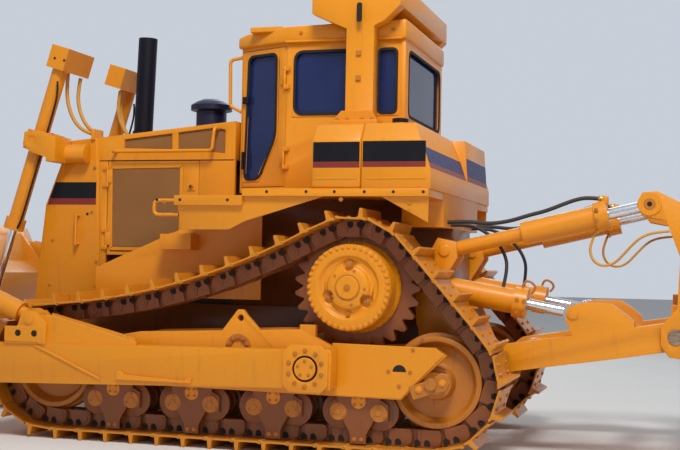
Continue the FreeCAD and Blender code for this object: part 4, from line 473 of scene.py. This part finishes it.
EARTHY = (0.50, 0.165, 0.012)
track_paint = enamel("track_paint", EARTHY, dust=(0.42, 0.22, 0.08), grime=(0.09, 0.040, 0.016), wear=0.7)
shoe_paint = enamel("shoe_paint", (0.64, 0.225, 0.009), dust=(0.50, 0.27, 0.09), grime=(0.12, 0.050, 0.016),
                    wear=0.6)
# The dark red-brown enamel below is painted shade: the links, sprockets, rollers and bogie tabs that lie in
# the shadow of the machine get it in place of their own yellow-brown.
shaded_gear_paint = enamel("shaded_gear_paint", (0.24, 0.068, 0.012), dust=(0.30, 0.13, 0.05), grime=(0.05, 0.022, 0.012),
                    wear=0.8)
polished = Finish("worn_steel_face", Metallic=1.0)
scuffs = polished.noise(40.0, 6.0, 0.7)
polished.feed(Base_Color=polished.blend(scuffs, (0.20, 0.13, 0.08), (0.42, 0.38, 0.34)),
              Roughness=scuffs * 0.4 + 0.25)
polished.bump(scuffs, 0.001)
shadow = Finish("deep_shadow", Roughness=0.95, Base_Color=(0.012, 0.008, 0.006, 1))
shadow.feed(Base_Color=shadow.blend(shadow.noise(20.0), (0.010, 0.007, 0.005), (0.022, 0.013, 0.008)))

unit = [slab("shoe", [(-0.010, 0.060), (0.207, 0.060), (0.234, 0.051), (0.250, 0.055), (0.243, 0.070),
                      (0.222, 0.077),
                      (0.2105, 0.1535), (0.1885, 0.1535), (0.178, 0.082), (0.160, 0.076), (0.020, 0.076),
                      (-0.006, 0.086), (-0.018, 0.079)], -0.305, 0.305, shoe_paint, 0.003)]
side_outline = [(-0.052, -0.050), (-0.040, -0.078), (-0.015, -0.086), (0.257, -0.086), (0.282, -0.078),
                (0.294, -0.050), (0.294, 0.015), (0.278, 0.040), (0.230, 0.060), (0.012, 0.060), (-0.036,
                                                                                                  0.040),
                (-0.052, 0.015)]
for side in (-1, 1):
    for start, end, near, far in ((-0.052, 0.150, 0.094, 0.125), (0.092, 0.294, 0.060, 0.0935)):
        part = [(min(max(x, start), end), z) for x, z in side_outline]
        part = [spot for index, spot in enumerate(part) if spot != part[index - 1]]
        unit.append(slab("link", part, *sorted((side * near, side * far)), shaded_gear_paint, 0.005))
    unit.append(rod("pin_boss", (0.0, side * 0.128, -0.014), "y", 0.050, 0.010, shaded_gear_paint, 14))
    unit.append(rod("pin_end", (0.0, side * 0.134, -0.014), "y", 0.026, 0.008, shaded_gear_paint, 12))
    for x in (0.066, 0.148):
        window = [(x - 0.026, 0.046), (x - 0.026, 0.012), (x + 0.002, -0.010), (x + 0.026, 0.004),
                  (x + 0.026, 0.046)]
        unit.append(slab("window", window, *sorted((side * 0.124, side * 0.1265)), shadow.material))
        unit.append(rod("shoe_bolt", (x, side * 0.175, 0.083), "z", 0.017, 0.014, shoe_paint, 6))
unit.append(rod("bushing", (0.0, 0, -0.014), "y", 0.038, 0.118, polished.material, 14))
unit = joined("track_unit", unit)
chain = []
for start, end in zip(pins, pins[1:] + pins[:1]):
    along = (end - start).normalized()
    turned = Matrix(((along.x, 0, along.y, start.x), (0, 1, 0, TRACK_Y), (along.y, 0, -along.x, start.y),
                     (0, 0, 0, 1)))
    chain.append(copied(unit, turned))
bpy.data.objects.remove(unit)
left_chain = joined("track_chain_left", chain)
right_chain = copied(left_chain, OTHER_SIDE)
right_chain.name = "track_chain_right"
for chain, node in ((left_chain, "track_left"), (right_chain, "track_right")):
    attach(chain, "machine")
    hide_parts(node)

# Running gear: castings with turned treads, and caps bolted over the ends of their shafts
# sprockets, rollers and bogies take the dark enamel of painted shade, the idlers the earthy one
for node, paint in (("sprockets", shaded_gear_paint), ("idlers", track_paint), ("track_rollers", shaded_gear_paint),
                    ("bogies", shaded_gear_paint)):
    eased(node, 0.004, paint)
WHEEL_X, WHEEL_Z, COVER_Y = -1.2815, 1.381, 1.425


def circle_spots(x, y, z, radius, count, start=0.0):
    return [(x + radius * math.cos(start + 2 * math.pi * k / count), y,
             z + radius * math.sin(start + 2 * math.pi * k / count)) for k in range(count)]


# Final drives: cast covers with a ring of bolts, three plug pockets and a domed middle
drives = eased("final_drives", 0.005, tractor_paint)
pocket_spots = [(WHEEL_X - 0.187 * math.cos(a), WHEEL_Z + 0.187 * math.sin(a)) for a in map(math.radians,
                                                                                            (90, 205, 325))]
for side in (-1, 1):
    for x, z in pocket_spots:
        cutter = rod("pocket", (x, side * 1.43, z), "y", 0.052, 0.09, track_paint, 24)
        cut = drives.modifiers.new("pocket", "BOOLEAN")
        cut.operation, cut.object, cut.solver = "DIFFERENCE", cutter, "EXACT"
        select_only(drives)
        bpy.ops.object.modifier_apply(modifier="pocket")
        bpy.data.objects.remove(cutter)
paired("drive_fasteners", [
    studs("rim_bolts", circle_spots(WHEEL_X, COVER_Y - 0.006, WHEEL_Z, 0.331, 40), "y", 0.0165, 0.030,
          tractor_paint),
    studs("flange_bolts", circle_spots(WHEEL_X, 1.190, WHEEL_Z, 0.370, 36), "y", 0.012, 0.014, track_paint),
    studs("pocket_bolts", [(x, 1.398, z) for x, z in pocket_spots], "y", 0.024, 0.022, track_paint),
    studs("dome_bolts", circle_spots(WHEEL_X, 1.440, WHEEL_Z, 0.140, 5, 0.7), "y", 0.011, 0.012, track_paint),
    rod("dome_shade", (WHEEL_X, 1.4462, WHEEL_Z), "y", 0.108, 0.004, track_paint, 40),
    rod("dome_ring", (WHEEL_X, 1.4500, WHEEL_Z), "y", 0.096, 0.016, tractor_paint, 40, 0.007),
    studs("dome_nut", [(WHEEL_X, 1.462, WHEEL_Z)], "y", 0.020, 0.016, track_paint),
    rod("drain_plug", (WHEEL_X, 1.412, WHEEL_Z - 0.215), "y", 0.020, 0.026, track_paint, 8, 0.003)])

ROLLER_Z = 0.365
roller_x = [-1.3635 + 0.738 * pair + side * 0.1725 for pair in range(4) for side in (-1, 1)]
caps = []
for x in roller_x:
    caps += [rod("roller_cap", (x, 1.335, ROLLER_Z), "y", 0.074, 0.014, track_paint, 24, 0.004),
             rod("roller_plug", (x, 1.344, ROLLER_Z), "y", 0.026, 0.010, track_paint, 12, 0.002)]
for pair in range(4):
    x = -1.3635 + 0.738 * pair
    caps += [rod("bogie_cap", (x, 1.336, 0.455), "y", 0.062, 0.020, tractor_paint, 24, 0.004),
             studs("bogie_bolts", circle_spots(x, 1.350, 0.455, 0.040, 4, 0.785), "y", 0.009, 0.010,
                   track_paint)]
    caps += [slab("bogie_tab", [(x - 0.190, 0.515), (x - 0.160, 0.355), (x - 0.068, 0.185),
                                (x - 0.068, 0.108),
                                (x + 0.068, 0.108), (x + 0.068, 0.185), (x + 0.160, 0.355), (x + 0.190,
                                                                                             0.515)],
                  1.3300, 1.3375, shaded_gear_paint, 0.002),
             studs("tab_bolts", [(x - 0.030, 1.342, 0.145), (x + 0.030, 1.342, 0.145)], "y", 0.014, 0.014,
                   track_paint)]
caps.append(studs("cap_bolts", [spot for x in roller_x for spot in circle_spots(x, 1.346, ROLLER_Z, 0.052, 3,
                                                                                1.57)],
                  "y", 0.009, 0.010, track_paint))
paired("roller_caps", caps)

# Track frames: guard plates bolted on at the rear, an axle bracket and guiding guards
rear_guard = slab("rear_guard",
                  [(-1.155, 0.926), (-2.006, 0.917), (-2.080, 0.862), (-1.734, 0.500), (-1.069, 0.500)],
                  1.4005, 1.414, tractor_paint, 0.003)
moon = slab("guard_window", [(-1.720 + 0.056 * math.cos(a), 0.715 + 0.056 * math.sin(a))
                             for a in [math.pi * k / 10 for k in range(11)]], 1.413, 1.4155, shadow.material)
axle_plate = slab("axle_bracket",
                  [(-1.800, 0.600), (-1.980, 0.665), (-2.060, 0.722), (-2.125, 0.712), (-2.142, 0.640),
                                   (-2.100, 0.575), (-1.990, 0.548), (-1.840, 0.492)],
                  1.415, 1.440, track_paint, 0.008, 0.015)
front_plate = slab("front_guard", [(1.20, 0.56), (1.59, 0.56), (1.59, 0.72), (1.42, 0.80), (1.20, 0.80)],
                   1.4005, 1.430, tractor_paint, 0.005)
guards = [rear_guard, moon, axle_plate, front_plate]
guards.append(rod("axle_end", (-1.985, 1.452, 0.628), "y", 0.050, 0.020, track_paint, 20, 0.004))
guards.append(rod("front_axle_end", (1.4815, 1.436, 0.628), "y", 0.050, 0.020, track_paint, 20, 0.004))
guards.append(studs("guard_bolts",
                    [(x, 1.418, z) for x, z in ((-1.630, 0.715), (-1.810, 0.715), (-1.720, 0.600),
                                                               (-1.830, 0.895), (-1.150,
                                                                                 0.560))], "y", 0.012, 0.012,
                    track_paint))
guards.append(studs("axle_bolts", [(-2.080, 1.445, 0.645), (-1.890, 1.445, 0.585)], "y", 0.022, 0.024,
                    tractor_paint))
guards.append(studs("front_bolts",
                    [(x, 1.434, z) for x, z in ((1.25, 0.76), (1.25, 0.60), (1.54, 0.60), (1.54, 0.70))],
                    "y", 0.014, 0.014, track_paint))
arc = [math.pi * k / 12 for k in range(13)]
guards.append(slab("arc_cap", [(-0.330 + 0.112 * math.cos(a), 0.862 + 0.112 * math.sin(a)) for a in arc] + [
    (-0.330 + 0.062 * math.cos(a),
     0.862 + 0.062 * math.sin(a)) for a in reversed(arc)], 1.4005, 1.414, track_paint, 0.003))
guards.append(studs("arc_bolts", [(-0.330 + 0.087 * math.cos(a), 1.419, 0.862 + 0.087 * math.sin(a))
                                  for a in [math.radians(18 + 36 * k) for k in range(5)]], "y", 0.014, 0.014, track_paint))
guards.append(crate("frame_stop", (-1.000, -0.865), (1.335, 1.3995), (0.940, 1.066), tractor_paint, 0.004))
guards.append(studs("frame_bolts", [(x, 1.404, 0.56) for x in [-0.75 + 0.30 * k for k in range(7)]], "y",
                    0.013, 0.012,
                    track_paint))
paired("frame_guards", guards)

# Push arms: trunnion caps with their bolts, stiffening ribs and the tilt cylinder's brackets
CAP_X, CAP_Z, CAP_Y = -1.0065, 0.728, 1.6695
arm_parts = [
    rod("trunnion_shade", (CAP_X, CAP_Y - 0.007, CAP_Z), "y", 0.106, 0.014, track_paint, 32),
    rod("trunnion_disc", (CAP_X, CAP_Y + 0.001, CAP_Z), "y", 0.090, 0.022, tractor_paint, 32, 0.005),
    studs("disc_bolts", circle_spots(CAP_X, CAP_Y + 0.012, CAP_Z, 0.060, 5, 1.57), "y", 0.011, 0.012,
          track_paint),
    studs("cap_bolts", circle_spots(CAP_X, CAP_Y + 0.004, CAP_Z, 0.145, 10, 0.314), "y", 0.014, 0.014,
          track_paint),
    slab("arm_rib", [(1.442, 0.835), (1.442, 0.812), (0.823, 0.553), (0.823, 0.575)], 1.6395, 1.652,
         tractor_paint, 0.003),
    slab("arm_ledge", [(0.665, 0.640), (0.625, 0.640), (0.600, 0.612), (0.045, 0.583), (0.020, 0.605),
                       (-0.015, 0.605),
                       (-0.015, 0.566), (0.665, 0.566)], 1.6395, 1.662, tractor_paint, 0.003),
    slab("arm_gusset", [(1.420, 0.830), (1.420, 1.085), (1.30, 1.085), (0.506, 0.885), (0.506, 0.850)],
         1.596, 1.622,
         tractor_paint, 0.004),
    crate("tilt_box", (1.74, 1.40), (1.6395, 1.664), (0.850, 0.984), tractor_paint, 0.005)]
for x in (1.605, 1.448):
    arm_parts.append(rod("tilt_hole", (x, 1.664, 0.927), "y", 0.028, 0.004, shadow.material, 20))
paired("arm_fittings", arm_parts, "push_frame")

# Radiator guard and engine house: screens with round holes, trims, a grab handle, latches
# The screens are painted shade: their brown is darker than the enamel beside them, and their round holes are
# painted near black for the dark behind the sheet.
screen = Finish("shaded_perforated_sheet", Roughness=0.6)
grid = screen.add("SeparateXYZ", 0, Vector=screen.place), screen.add("SeparateXYZ", 2, Vector=screen.place)
cells = [screen.maths("PINGPONG", axis * 55.0, 0.5) - 0.25 for axis in grid]
shaded_hole = screen.maths("SQRT", cells[0] * cells[0] + cells[1] * cells[1]) < 0.17
shade_and_soil = screen.noise(2.0)
screen.feed(Base_Color=screen.blend(shaded_hole, screen.blend(shade_and_soil, (0.34, 0.13, 0.03), (0.50, 0.21, 0.04)),
                                    (0.02, 0.012, 0.008)),
            Roughness=shaded_hole * 0.3 + 0.6)
screen.bump(shaded_hole, -0.002)
house = [
    slab("hood_screen_front", [(1.2065, 2.629), (1.2015, 2.713), (0.7125, 2.763), (0.7075, 2.614)], 0.5285,
         0.5315,
         screen.material),
    slab("hood_screen_rear", [(0.6515, 2.615), (0.6515, 2.771), (0.2725, 2.811), (0.1775, 2.790),
                              (0.1775, 2.572)],
         0.5285, 0.5315, screen.material)]
# a thin dark strip along the hood's lower edge is a painted shadow
house.append(crate("hood_edge_shadow", (0.085, 1.455), (0.5502, 0.5512), (2.5055, 2.5145), shadow.material))
paired("hood_screens", house)
door_screen = [(1.315, 2.430), (0.620, 2.440), (0.620, 1.700), (1.300, 1.700)]
for side, mirror in (("left", False), ("right", True)):
    parts = [slab("door_screen", door_screen, 0.5505, 0.553, screen.material),
             slab("door_trim", [(1.345, 2.462), (0.590, 2.472), (0.590, 1.665), (1.330, 1.665)], 0.5505,
                  0.559,
                  tractor_paint, 0.002, 0.02, 0.030),
             crate("latch_plate", (0.459, 0.551), (0.5505, 0.558), (2.225, 2.305), tractor_paint, 0.003),
             rod("latch_knob", (0.505, 0.566, 2.264), "y", 0.022, 0.016, track_paint, 20, 0.003),
             crate("latch_slot", (0.494, 0.516), (0.5735, 0.5755), (2.255, 2.273), shadow.material)]
    piece = joined("engine_door_trim_" + side, parts)
    if mirror:
        piece.data.transform(OTHER_SIDE)
        piece.data.flip_normals()
    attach(piece, "engine_door_" + side)

grab = [rod("grab_bar", (1.653, 0.622, 1.850), "z", 0.013, 0.290, tractor_paint, 12),
        rod("grab_foot", (1.653, 0.592, 1.985), "y", 0.013, 0.064, tractor_paint, 12),
        rod("grab_foot", (1.653, 0.592, 1.715), "y", 0.013, 0.064, tractor_paint, 12),
        rod("guard_hole", (1.567, 0.5605, 2.003), "y", 0.014, 0.003, shadow.material, 14),
        studs("guard_bolts", [(x, 0.564, z) for x,
                              z in ((1.50, 2.44), (1.52, 2.02), (1.46, 1.55), (1.46, 1.32), (1.95, 1.32),
                                                       (1.93, 1.75))], "y", 0.012, 0.010, track_paint)]
paired("guard_fittings", grab)

# Stripes: black film with a dark red band along its lower edge, on the guard and the tanks
film = Finish("black_film", Specular_IOR_Level=0.2)
film.feed(Base_Color=film.blend(film.noise(6.0), (0.004, 0.004, 0.006), (0.010, 0.009, 0.012)),
          Roughness=film.noise(25.0) * 0.2 + 0.3)
# On the tanks' leaning back faces the black film is painted blue: a painted reflection of the sky in it.
sky_reflection_film = Finish("sky_reflection_film", Specular_IOR_Level=0.25)
sky_reflection_film.feed(Base_Color=sky_reflection_film.blend(sky_reflection_film.noise(6.0), (0.010, 0.012, 0.090), (0.024, 0.022, 0.130)),
               Roughness=sky_reflection_film.noise(25.0) * 0.2 + 0.35)
red_film = Finish("red_film", Roughness=0.45)
red_film.feed(Base_Color=red_film.blend(red_film.noise(6.0), (0.16, 0.012, 0.010), (0.26, 0.022, 0.016)))
paired("stripes", [
    slab("guard_stripe", [(1.480, 2.306), (1.912, 2.306), (1.972, 2.150), (1.480, 2.150)], 0.5602, 0.5616,
         film.material),
    slab("guard_stripe_red", [(1.480, 2.148), (1.973, 2.148), (1.993, 2.092), (1.480, 2.092)], 0.5602, 0.5616,
         red_film.material),
    crate("front_tank_stripe", (-1.345, -0.946), (1.3802, 1.3816), (2.412, 2.576), film.material),
    crate("front_tank_red", (-1.345, -0.946), (1.3802, 1.3816), (2.364, 2.410), red_film.material),
    crate("rear_tank_stripe", (-1.900, -1.372), (1.3802, 1.3816), (2.412, 2.580), film.material),
    crate("rear_tank_red", (-1.900, -1.372), (1.3802, 1.3816), (2.368, 2.410), red_film.material)])
# foot and head of the leaning face (x, z), its outward normal, span of y
back_stripes = []
for foot, head, (out_x, out_z), (near, far), top in (
        ((-1.9415, 2.340), (-1.8755, 2.540), (-0.9496, 0.3134), (-0.170, 1.345), 2.538),
        ((-1.9415, 2.340), (-1.9115, 2.740), (-0.9972, 0.0748), (-1.235, -0.225), 2.576)):
    for label, low_edge, high_edge, finish in (("blue", 2.412, top, sky_reflection_film),
                                               ("red", 2.366, 2.410, red_film)):
        ends = [(foot[0] + (head[0] - foot[0]) * (z - foot[1]) / (head[1] - foot[1]), z) for z in (low_edge,
                                                                                                   high_edge)]
        outline = [(x + out_x * d, z + out_z * d) for (x, z),
                   d in zip(ends + ends[::-1], (0.0010, 0.0010, 0.0026, 0.0026))]
        back_stripes.append(slab("back_" + label, outline, near, far, finish.material))
back_stripes = joined("back_stripes", back_stripes)
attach(back_stripes, "machine")

# Fenders: holes and bolts along the edge, and the open bracket on the slanting guard
deck = [rod("edge_hole", (x, 1.4003, 2.094 if x > -0.33 else 2.164), "y", 0.013, 0.002, shadow.material, 14)
        for x in (0.45, 0.235, -0.20, -0.55, -0.897, -1.141, -1.397, -1.641, -1.889)]
deck.append(studs("fender_bolts", [(-1.776, 1.404, 2.067), (-1.2, 1.404, 2.10), (0.38, 1.404, 2.075)], "y",
                  0.013, 0.012,
                  track_paint))
deck.append(slab("guard_bracket", [(0.575, 1.690), (0.575, 1.825), (0.345, 1.825), (0.345, 1.735)], 0.800,
                 0.860,
                 tractor_paint, 0.002, 0.0, 0.022))
paired("fender_fittings", deck)

# Tank fittings: filler cap and the seam beads of the pressed sheets
tank = [rod("filler_neck", (-1.62, 1.12, 2.748), "z", 0.060, 0.030, tractor_paint, 28, 0.004),
        rod("filler_cap", (-1.62, 1.12, 2.775), "z", 0.070, 0.034, film.material, 12, 0.006),
        crate("side_bead", (-1.90, -1.40), (1.3795, 1.3850), (2.270, 2.285), tractor_paint, 0.002),
        crate("side_bead", (-1.33, -0.96), (1.3795, 1.3850), (2.270, 2.285), tractor_paint, 0.002)]
paired("tank_fittings", tank)

# Cab: each pane sits in a rounded rubber gasket in its sheet frame; the doors have latches and handles
rubber = Finish("gasket_rubber", Specular_IOR_Level=0.2)
worn = rubber.noise(30.0)
rubber.feed(Base_Color=rubber.blend(worn, (0.010, 0.010, 0.011), (0.030, 0.027, 0.026)),
            Roughness=worn * 0.25 + 0.6)
rubber.bump(rubber.noise(120.0), 0.0006)
panes = [([(-1.5135, 2.868), (-1.3085, 2.868), (-1.3085, 3.470), (-1.5135, 3.470)], 0.050),
         ([(-1.2185, 2.868), (-0.5385, 2.868), (-0.5385, 3.470), (-1.2185, 3.470)], 0.085)]


def glazed(outline, corner, low=0.0):
    """Sheet frame that rounds an opening's corners, with the rubber on its inner edge."""
    middle_x, middle_z = (sum(spot[k] for spot in outline) / len(outline) for k in (0, 1))
    inner = [(x + math.copysign(0.010, middle_x - x), z + math.copysign(0.010, middle_z - z)) for x,
             z in outline]
    return [slab("pane_frame", outline, low, low + 0.006, tractor_paint, 0.0, 0.0, 0.034),
            slab("gasket", inner, low, low + 0.011, rubber.material, 0.0, corner, 0.024)]


paired("side_gaskets", [piece for outline, corner in panes for piece in glazed(outline, corner, 0.7598)])
rear_gasket = joined("rear_gasket",
                     glazed([(-0.665, 2.848), (0.665, 2.848), (0.665, 3.470), (-0.665, 3.470)], 0.085))
rear_gasket.data.transform(Matrix.Translation((-1.5637, 0, 0)) @ Matrix.Rotation(math.pi / 2, 4, "Z"))
front_gasket = joined("front_gasket",
                      glazed([(-0.470, 2.898), (0.470, 2.898), (0.470, 3.470), (-0.470, 3.470)], 0.085))
front_gasket.data.transform(Matrix.Translation((0.0337, 0, 0)) @ Matrix.Rotation(-math.pi / 2, 4, "Z"))
for piece in (rear_gasket, front_gasket):
    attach(piece, "machine")
door_length = math.hypot(0.230, 0.522)
door_place = Matrix.Translation((-0.4885, 0.760, 0)) @ Matrix.Rotation(-math.atan2(0.230, 0.522), 4, "Z")
for side, mirror in (("left", Matrix()), ("right", OTHER_SIDE)):
    parts = [*glazed([(0.330, 2.305), (door_length - 0.042, 2.305), (door_length - 0.075, 3.470),
                      (0.105, 3.470),
                      (0.105, 2.685)], 0.065, 0.0002),
             crate("door_latch", (door_length - 0.110, door_length - 0.035), (0.0, 0.030), (3.020, 3.085),
                   film.material,
                   0.006),
             crate("door_handle", (door_length - 0.075, door_length - 0.050), (0.020, 0.045), (2.42, 2.58),
                   film.material,
                   0.006)]
    piece = joined("door_fittings_" + side, parts)
    piece.data.transform(mirror @ door_place)
    if side == "right":
        piece.data.flip_normals()
    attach(piece, "cab_door_" + side)

# Roof: drip rails along its pressed steel sides, visor boxes over the door and bolts
paired("roof_fittings", [
    crate("drip_rail", (-1.545, -0.475), (0.7895, 0.8005), (3.528, 3.548), tractor_paint, 0.003),
    crate("visor_box", (-0.430, -0.115), (0.520, 0.735), (3.640, 3.690), tractor_paint, 0.008),
    studs("roof_bolts", [(x, 0.793, 3.610) for x in (-1.46, -0.62)], "y", 0.013, 0.012, track_paint)])

# Roll-over bar: slots in its end plates, pads on the posts, and saddles bolted at their feet
bar_parts = [slab("end_slot", [(-1.194, 3.640), (-1.242, 3.640), (-1.242, 3.808), (-1.194, 3.808)], 1.0195,
                  1.0215,
                  shadow.material, 0.0, 0.02),
             crate("post_pad", (-1.225, -1.180), (0.9598, 0.975), (3.360, 3.405), track_paint, 0.003),
             crate("post_pad", (-1.225, -1.180), (0.9598, 0.975), (3.145, 3.190), track_paint, 0.003),
             slab("post_saddle",
                  [(-0.985, 2.742), (-0.985, 2.800), (-1.060, 2.885), (-1.330, 2.885), (-1.383, 2.800),
                                  (-1.383, 2.742)], 0.9598, 0.990, tractor_paint, 0.004),
             studs("saddle_bolts", [(x, 0.995, 2.80) for x in (-1.03, -1.12, -1.25, -1.34)], "y", 0.018,
                   0.016, track_paint)]
paired("rollover_fittings", bar_parts)

# Lift cylinders: holes in the head block as dark discs of painted shade, a steel line along the barrel
def piped(name, points, radius, material):
    """Bent steel line: a curve through the points, turned into a mesh."""
    data = bpy.data.curves.new(name, "CURVE")
    data.dimensions, data.bevel_depth, data.bevel_resolution, data.resolution_u = "3D", radius, 3, 6
    spline = data.splines.new("NURBS")
    spline.points.add(len(points) - 1)
    for point, spot in zip(spline.points, points):
        point.co = (*spot, 1)
    spline.order_u, spline.use_endpoint_u = 3, True
    piece = bpy.data.objects.new(name, data)
    bpy.context.scene.collection.objects.link(piece)
    select_only(piece)
    bpy.ops.object.convert(target="MESH")
    piece = bpy.context.object
    piece.data.materials.clear()
    piece.data.materials.append(material)
    return piece


down = Vector((0.58, 0, -1.92)).normalized()
aside = Vector((down.z, 0, -down.x))
barrel_top = Vector((2.0115, 0, 2.680)) - down * 0.60
line = [barrel_top + aside * 0.055 + Vector((0, 0.800, 0)),
        barrel_top + aside * 0.098 + Vector((0, 0.802, 0)) + down * 0.10]
line += [barrel_top + aside * 0.104 + Vector((0, 0.802, 0)) + down * d for d in (0.35, 0.75, 1.15, 1.38)]
line.append(barrel_top + aside * 0.070 + Vector((0, 0.775, 0)) + down * 1.44)
paired("lift_fittings", [
    *[rod("head_hole", (x, 0.8285, z), "y", 0.013, 0.002, shadow.material, 16)
      for x, z in ((1.805, 3.455), (1.705, 3.430))],
    piped("lift_line", line, 0.010, rubber.material)], "lift_barrels")

# Ripper: bolts of the glands, hose fittings and the pins' end caps
brass = Finish("brass_fitting", Metallic=1.0, Roughness=0.4)
brass.feed(Base_Color=brass.blend(brass.noise(30.0), (0.45, 0.27, 0.08), (0.70, 0.48, 0.18)),
           Roughness=brass.noise(60.0) * 0.3 + 0.25)
paired("tip_fittings", [
    rod("port_block", (-3.262, 0.640, 2.140), "z", 0.034, 0.070, tractor_paint, 6, 0.004),
    rod("port_fitting", (-3.235, 0.640, 2.158), "x", 0.026, 0.060, brass.material, 6, 0.003),
    rod("loop_fitting", (-3.203, 0.638, 1.888), "z", 0.020, 0.040, brass.material, 6, 0.003),
    studs("gland_bolts", [(-3.20, 0.640 + 0.128, z) for z in (1.965, 2.055)], "y", 0.014, 0.012,
          track_paint)], "tip_barrels")
paired("rise_fittings", [
    studs("gland_bolts", [(x, 0.773, z) for x,
                          z in ((-2.56, 1.30), (-2.56, 1.20), (-2.62, 1.29), (-2.62, 1.19))], "y", 0.013,
          0.010, track_paint),
    piped("rise_line", [(-2.590, 0.640, 1.405), (-2.600, 0.642, 1.450), (-2.640, 0.645, 1.462),
                        (-2.690, 0.648, 1.430),
                        (-2.700, 0.650, 1.385), (-2.66, 0.650,
                                                 1.350)], 0.011, track_paint)], "ripper_lift_barrels")
paired("beam_fittings", [
    rod("eye_cap", (-3.6285, 0.7935, 2.105), "y", 0.095, 0.012, tractor_paint, 28, 0.003),
    rod("eye_pin", (-3.6285, 0.7990, 2.105), "y", 0.048, 0.010, track_paint, 24, 0.003),
    rod("eye_hole", (-3.6285, 0.8045, 2.105), "y", 0.020, 0.003, shadow.material, 16)], "ripper_beam")
paired("arm_caps", [
    rod("pin_cap", (-3.8415, 0.7510, 1.034), "y", 0.085, 0.012, track_paint, 28, 0.003),
    studs("pin_cap_bolts", circle_spots(-3.8415, 0.760, 1.034, 0.055, 4, 0.785), "y", 0.011, 0.010,
          track_paint)],
    "ripper_frame")

# Studio: a pale floor that fades into the backdrop, one large key lamp and a soft fill
bpy.ops.object.select_all(action="DESELECT")
bpy.ops.mesh.primitive_plane_add(size=120, location=(0, 0, 0))
floor = bpy.context.object
floor.name = "floor"
pale = Finish("floor_pale", Base_Color=(0.78, 0.76, 0.73, 1), Roughness=0.9)
pale.feed(Base_Color=pale.blend(pale.noise(0.6), (0.74, 0.72, 0.69), (0.80, 0.79, 0.76)))
floor.data.materials.append(pale.material)

world = bpy.data.worlds.new("studio")
bpy.context.scene.world = world
world.use_nodes = True
sky = world.node_tree.nodes["Background"]
sky.inputs["Color"].default_value = (0.80, 0.86, 0.95, 1)
# The backdrop that the camera, glass and metal see is paler than the light that it gives
rays = world.node_tree.nodes.new("ShaderNodeLightPath")
seen = "Is Camera Ray", "Is Glossy Ray", "Is Transmission Ray"
either = rays.outputs[seen[0]]
for kind in seen[1:]:
    gate = world.node_tree.nodes.new("ShaderNodeMath")
    gate.operation = "MAXIMUM"
    world.node_tree.links.new(either, gate.inputs[0])
    world.node_tree.links.new(rays.outputs[kind], gate.inputs[1])
    either = gate.outputs[0]
level = world.node_tree.nodes.new("ShaderNodeMapRange")
level.inputs["To Min"].default_value, level.inputs["To Max"].default_value = 0.36, 0.72
world.node_tree.links.new(either, level.inputs["Value"])
world.node_tree.links.new(level.outputs["Result"], sky.inputs["Strength"])
for name, place, aim, size, power in (("key", (-4.0, 9.0, 13.0), (0, 0, 1.2), 3.5, 1600),
                                      ("fill", (-10.0, 12.0, 5.0), (0, 0, 1.2), 9.0, 170),
                                      ("rear", (2.0, -12.0, 9.0), (0, 0, 1.2), 8.0, 450)):
    lamp = bpy.data.objects.new(name, bpy.data.lights.new(name, "AREA"))
    lamp.data.size, lamp.data.energy = size, power
    lamp.location = place
    lamp.rotation_euler = (Vector(aim) - Vector(place)).to_track_quat("-Z", "Y").to_euler()
    bpy.context.scene.collection.objects.link(lamp)
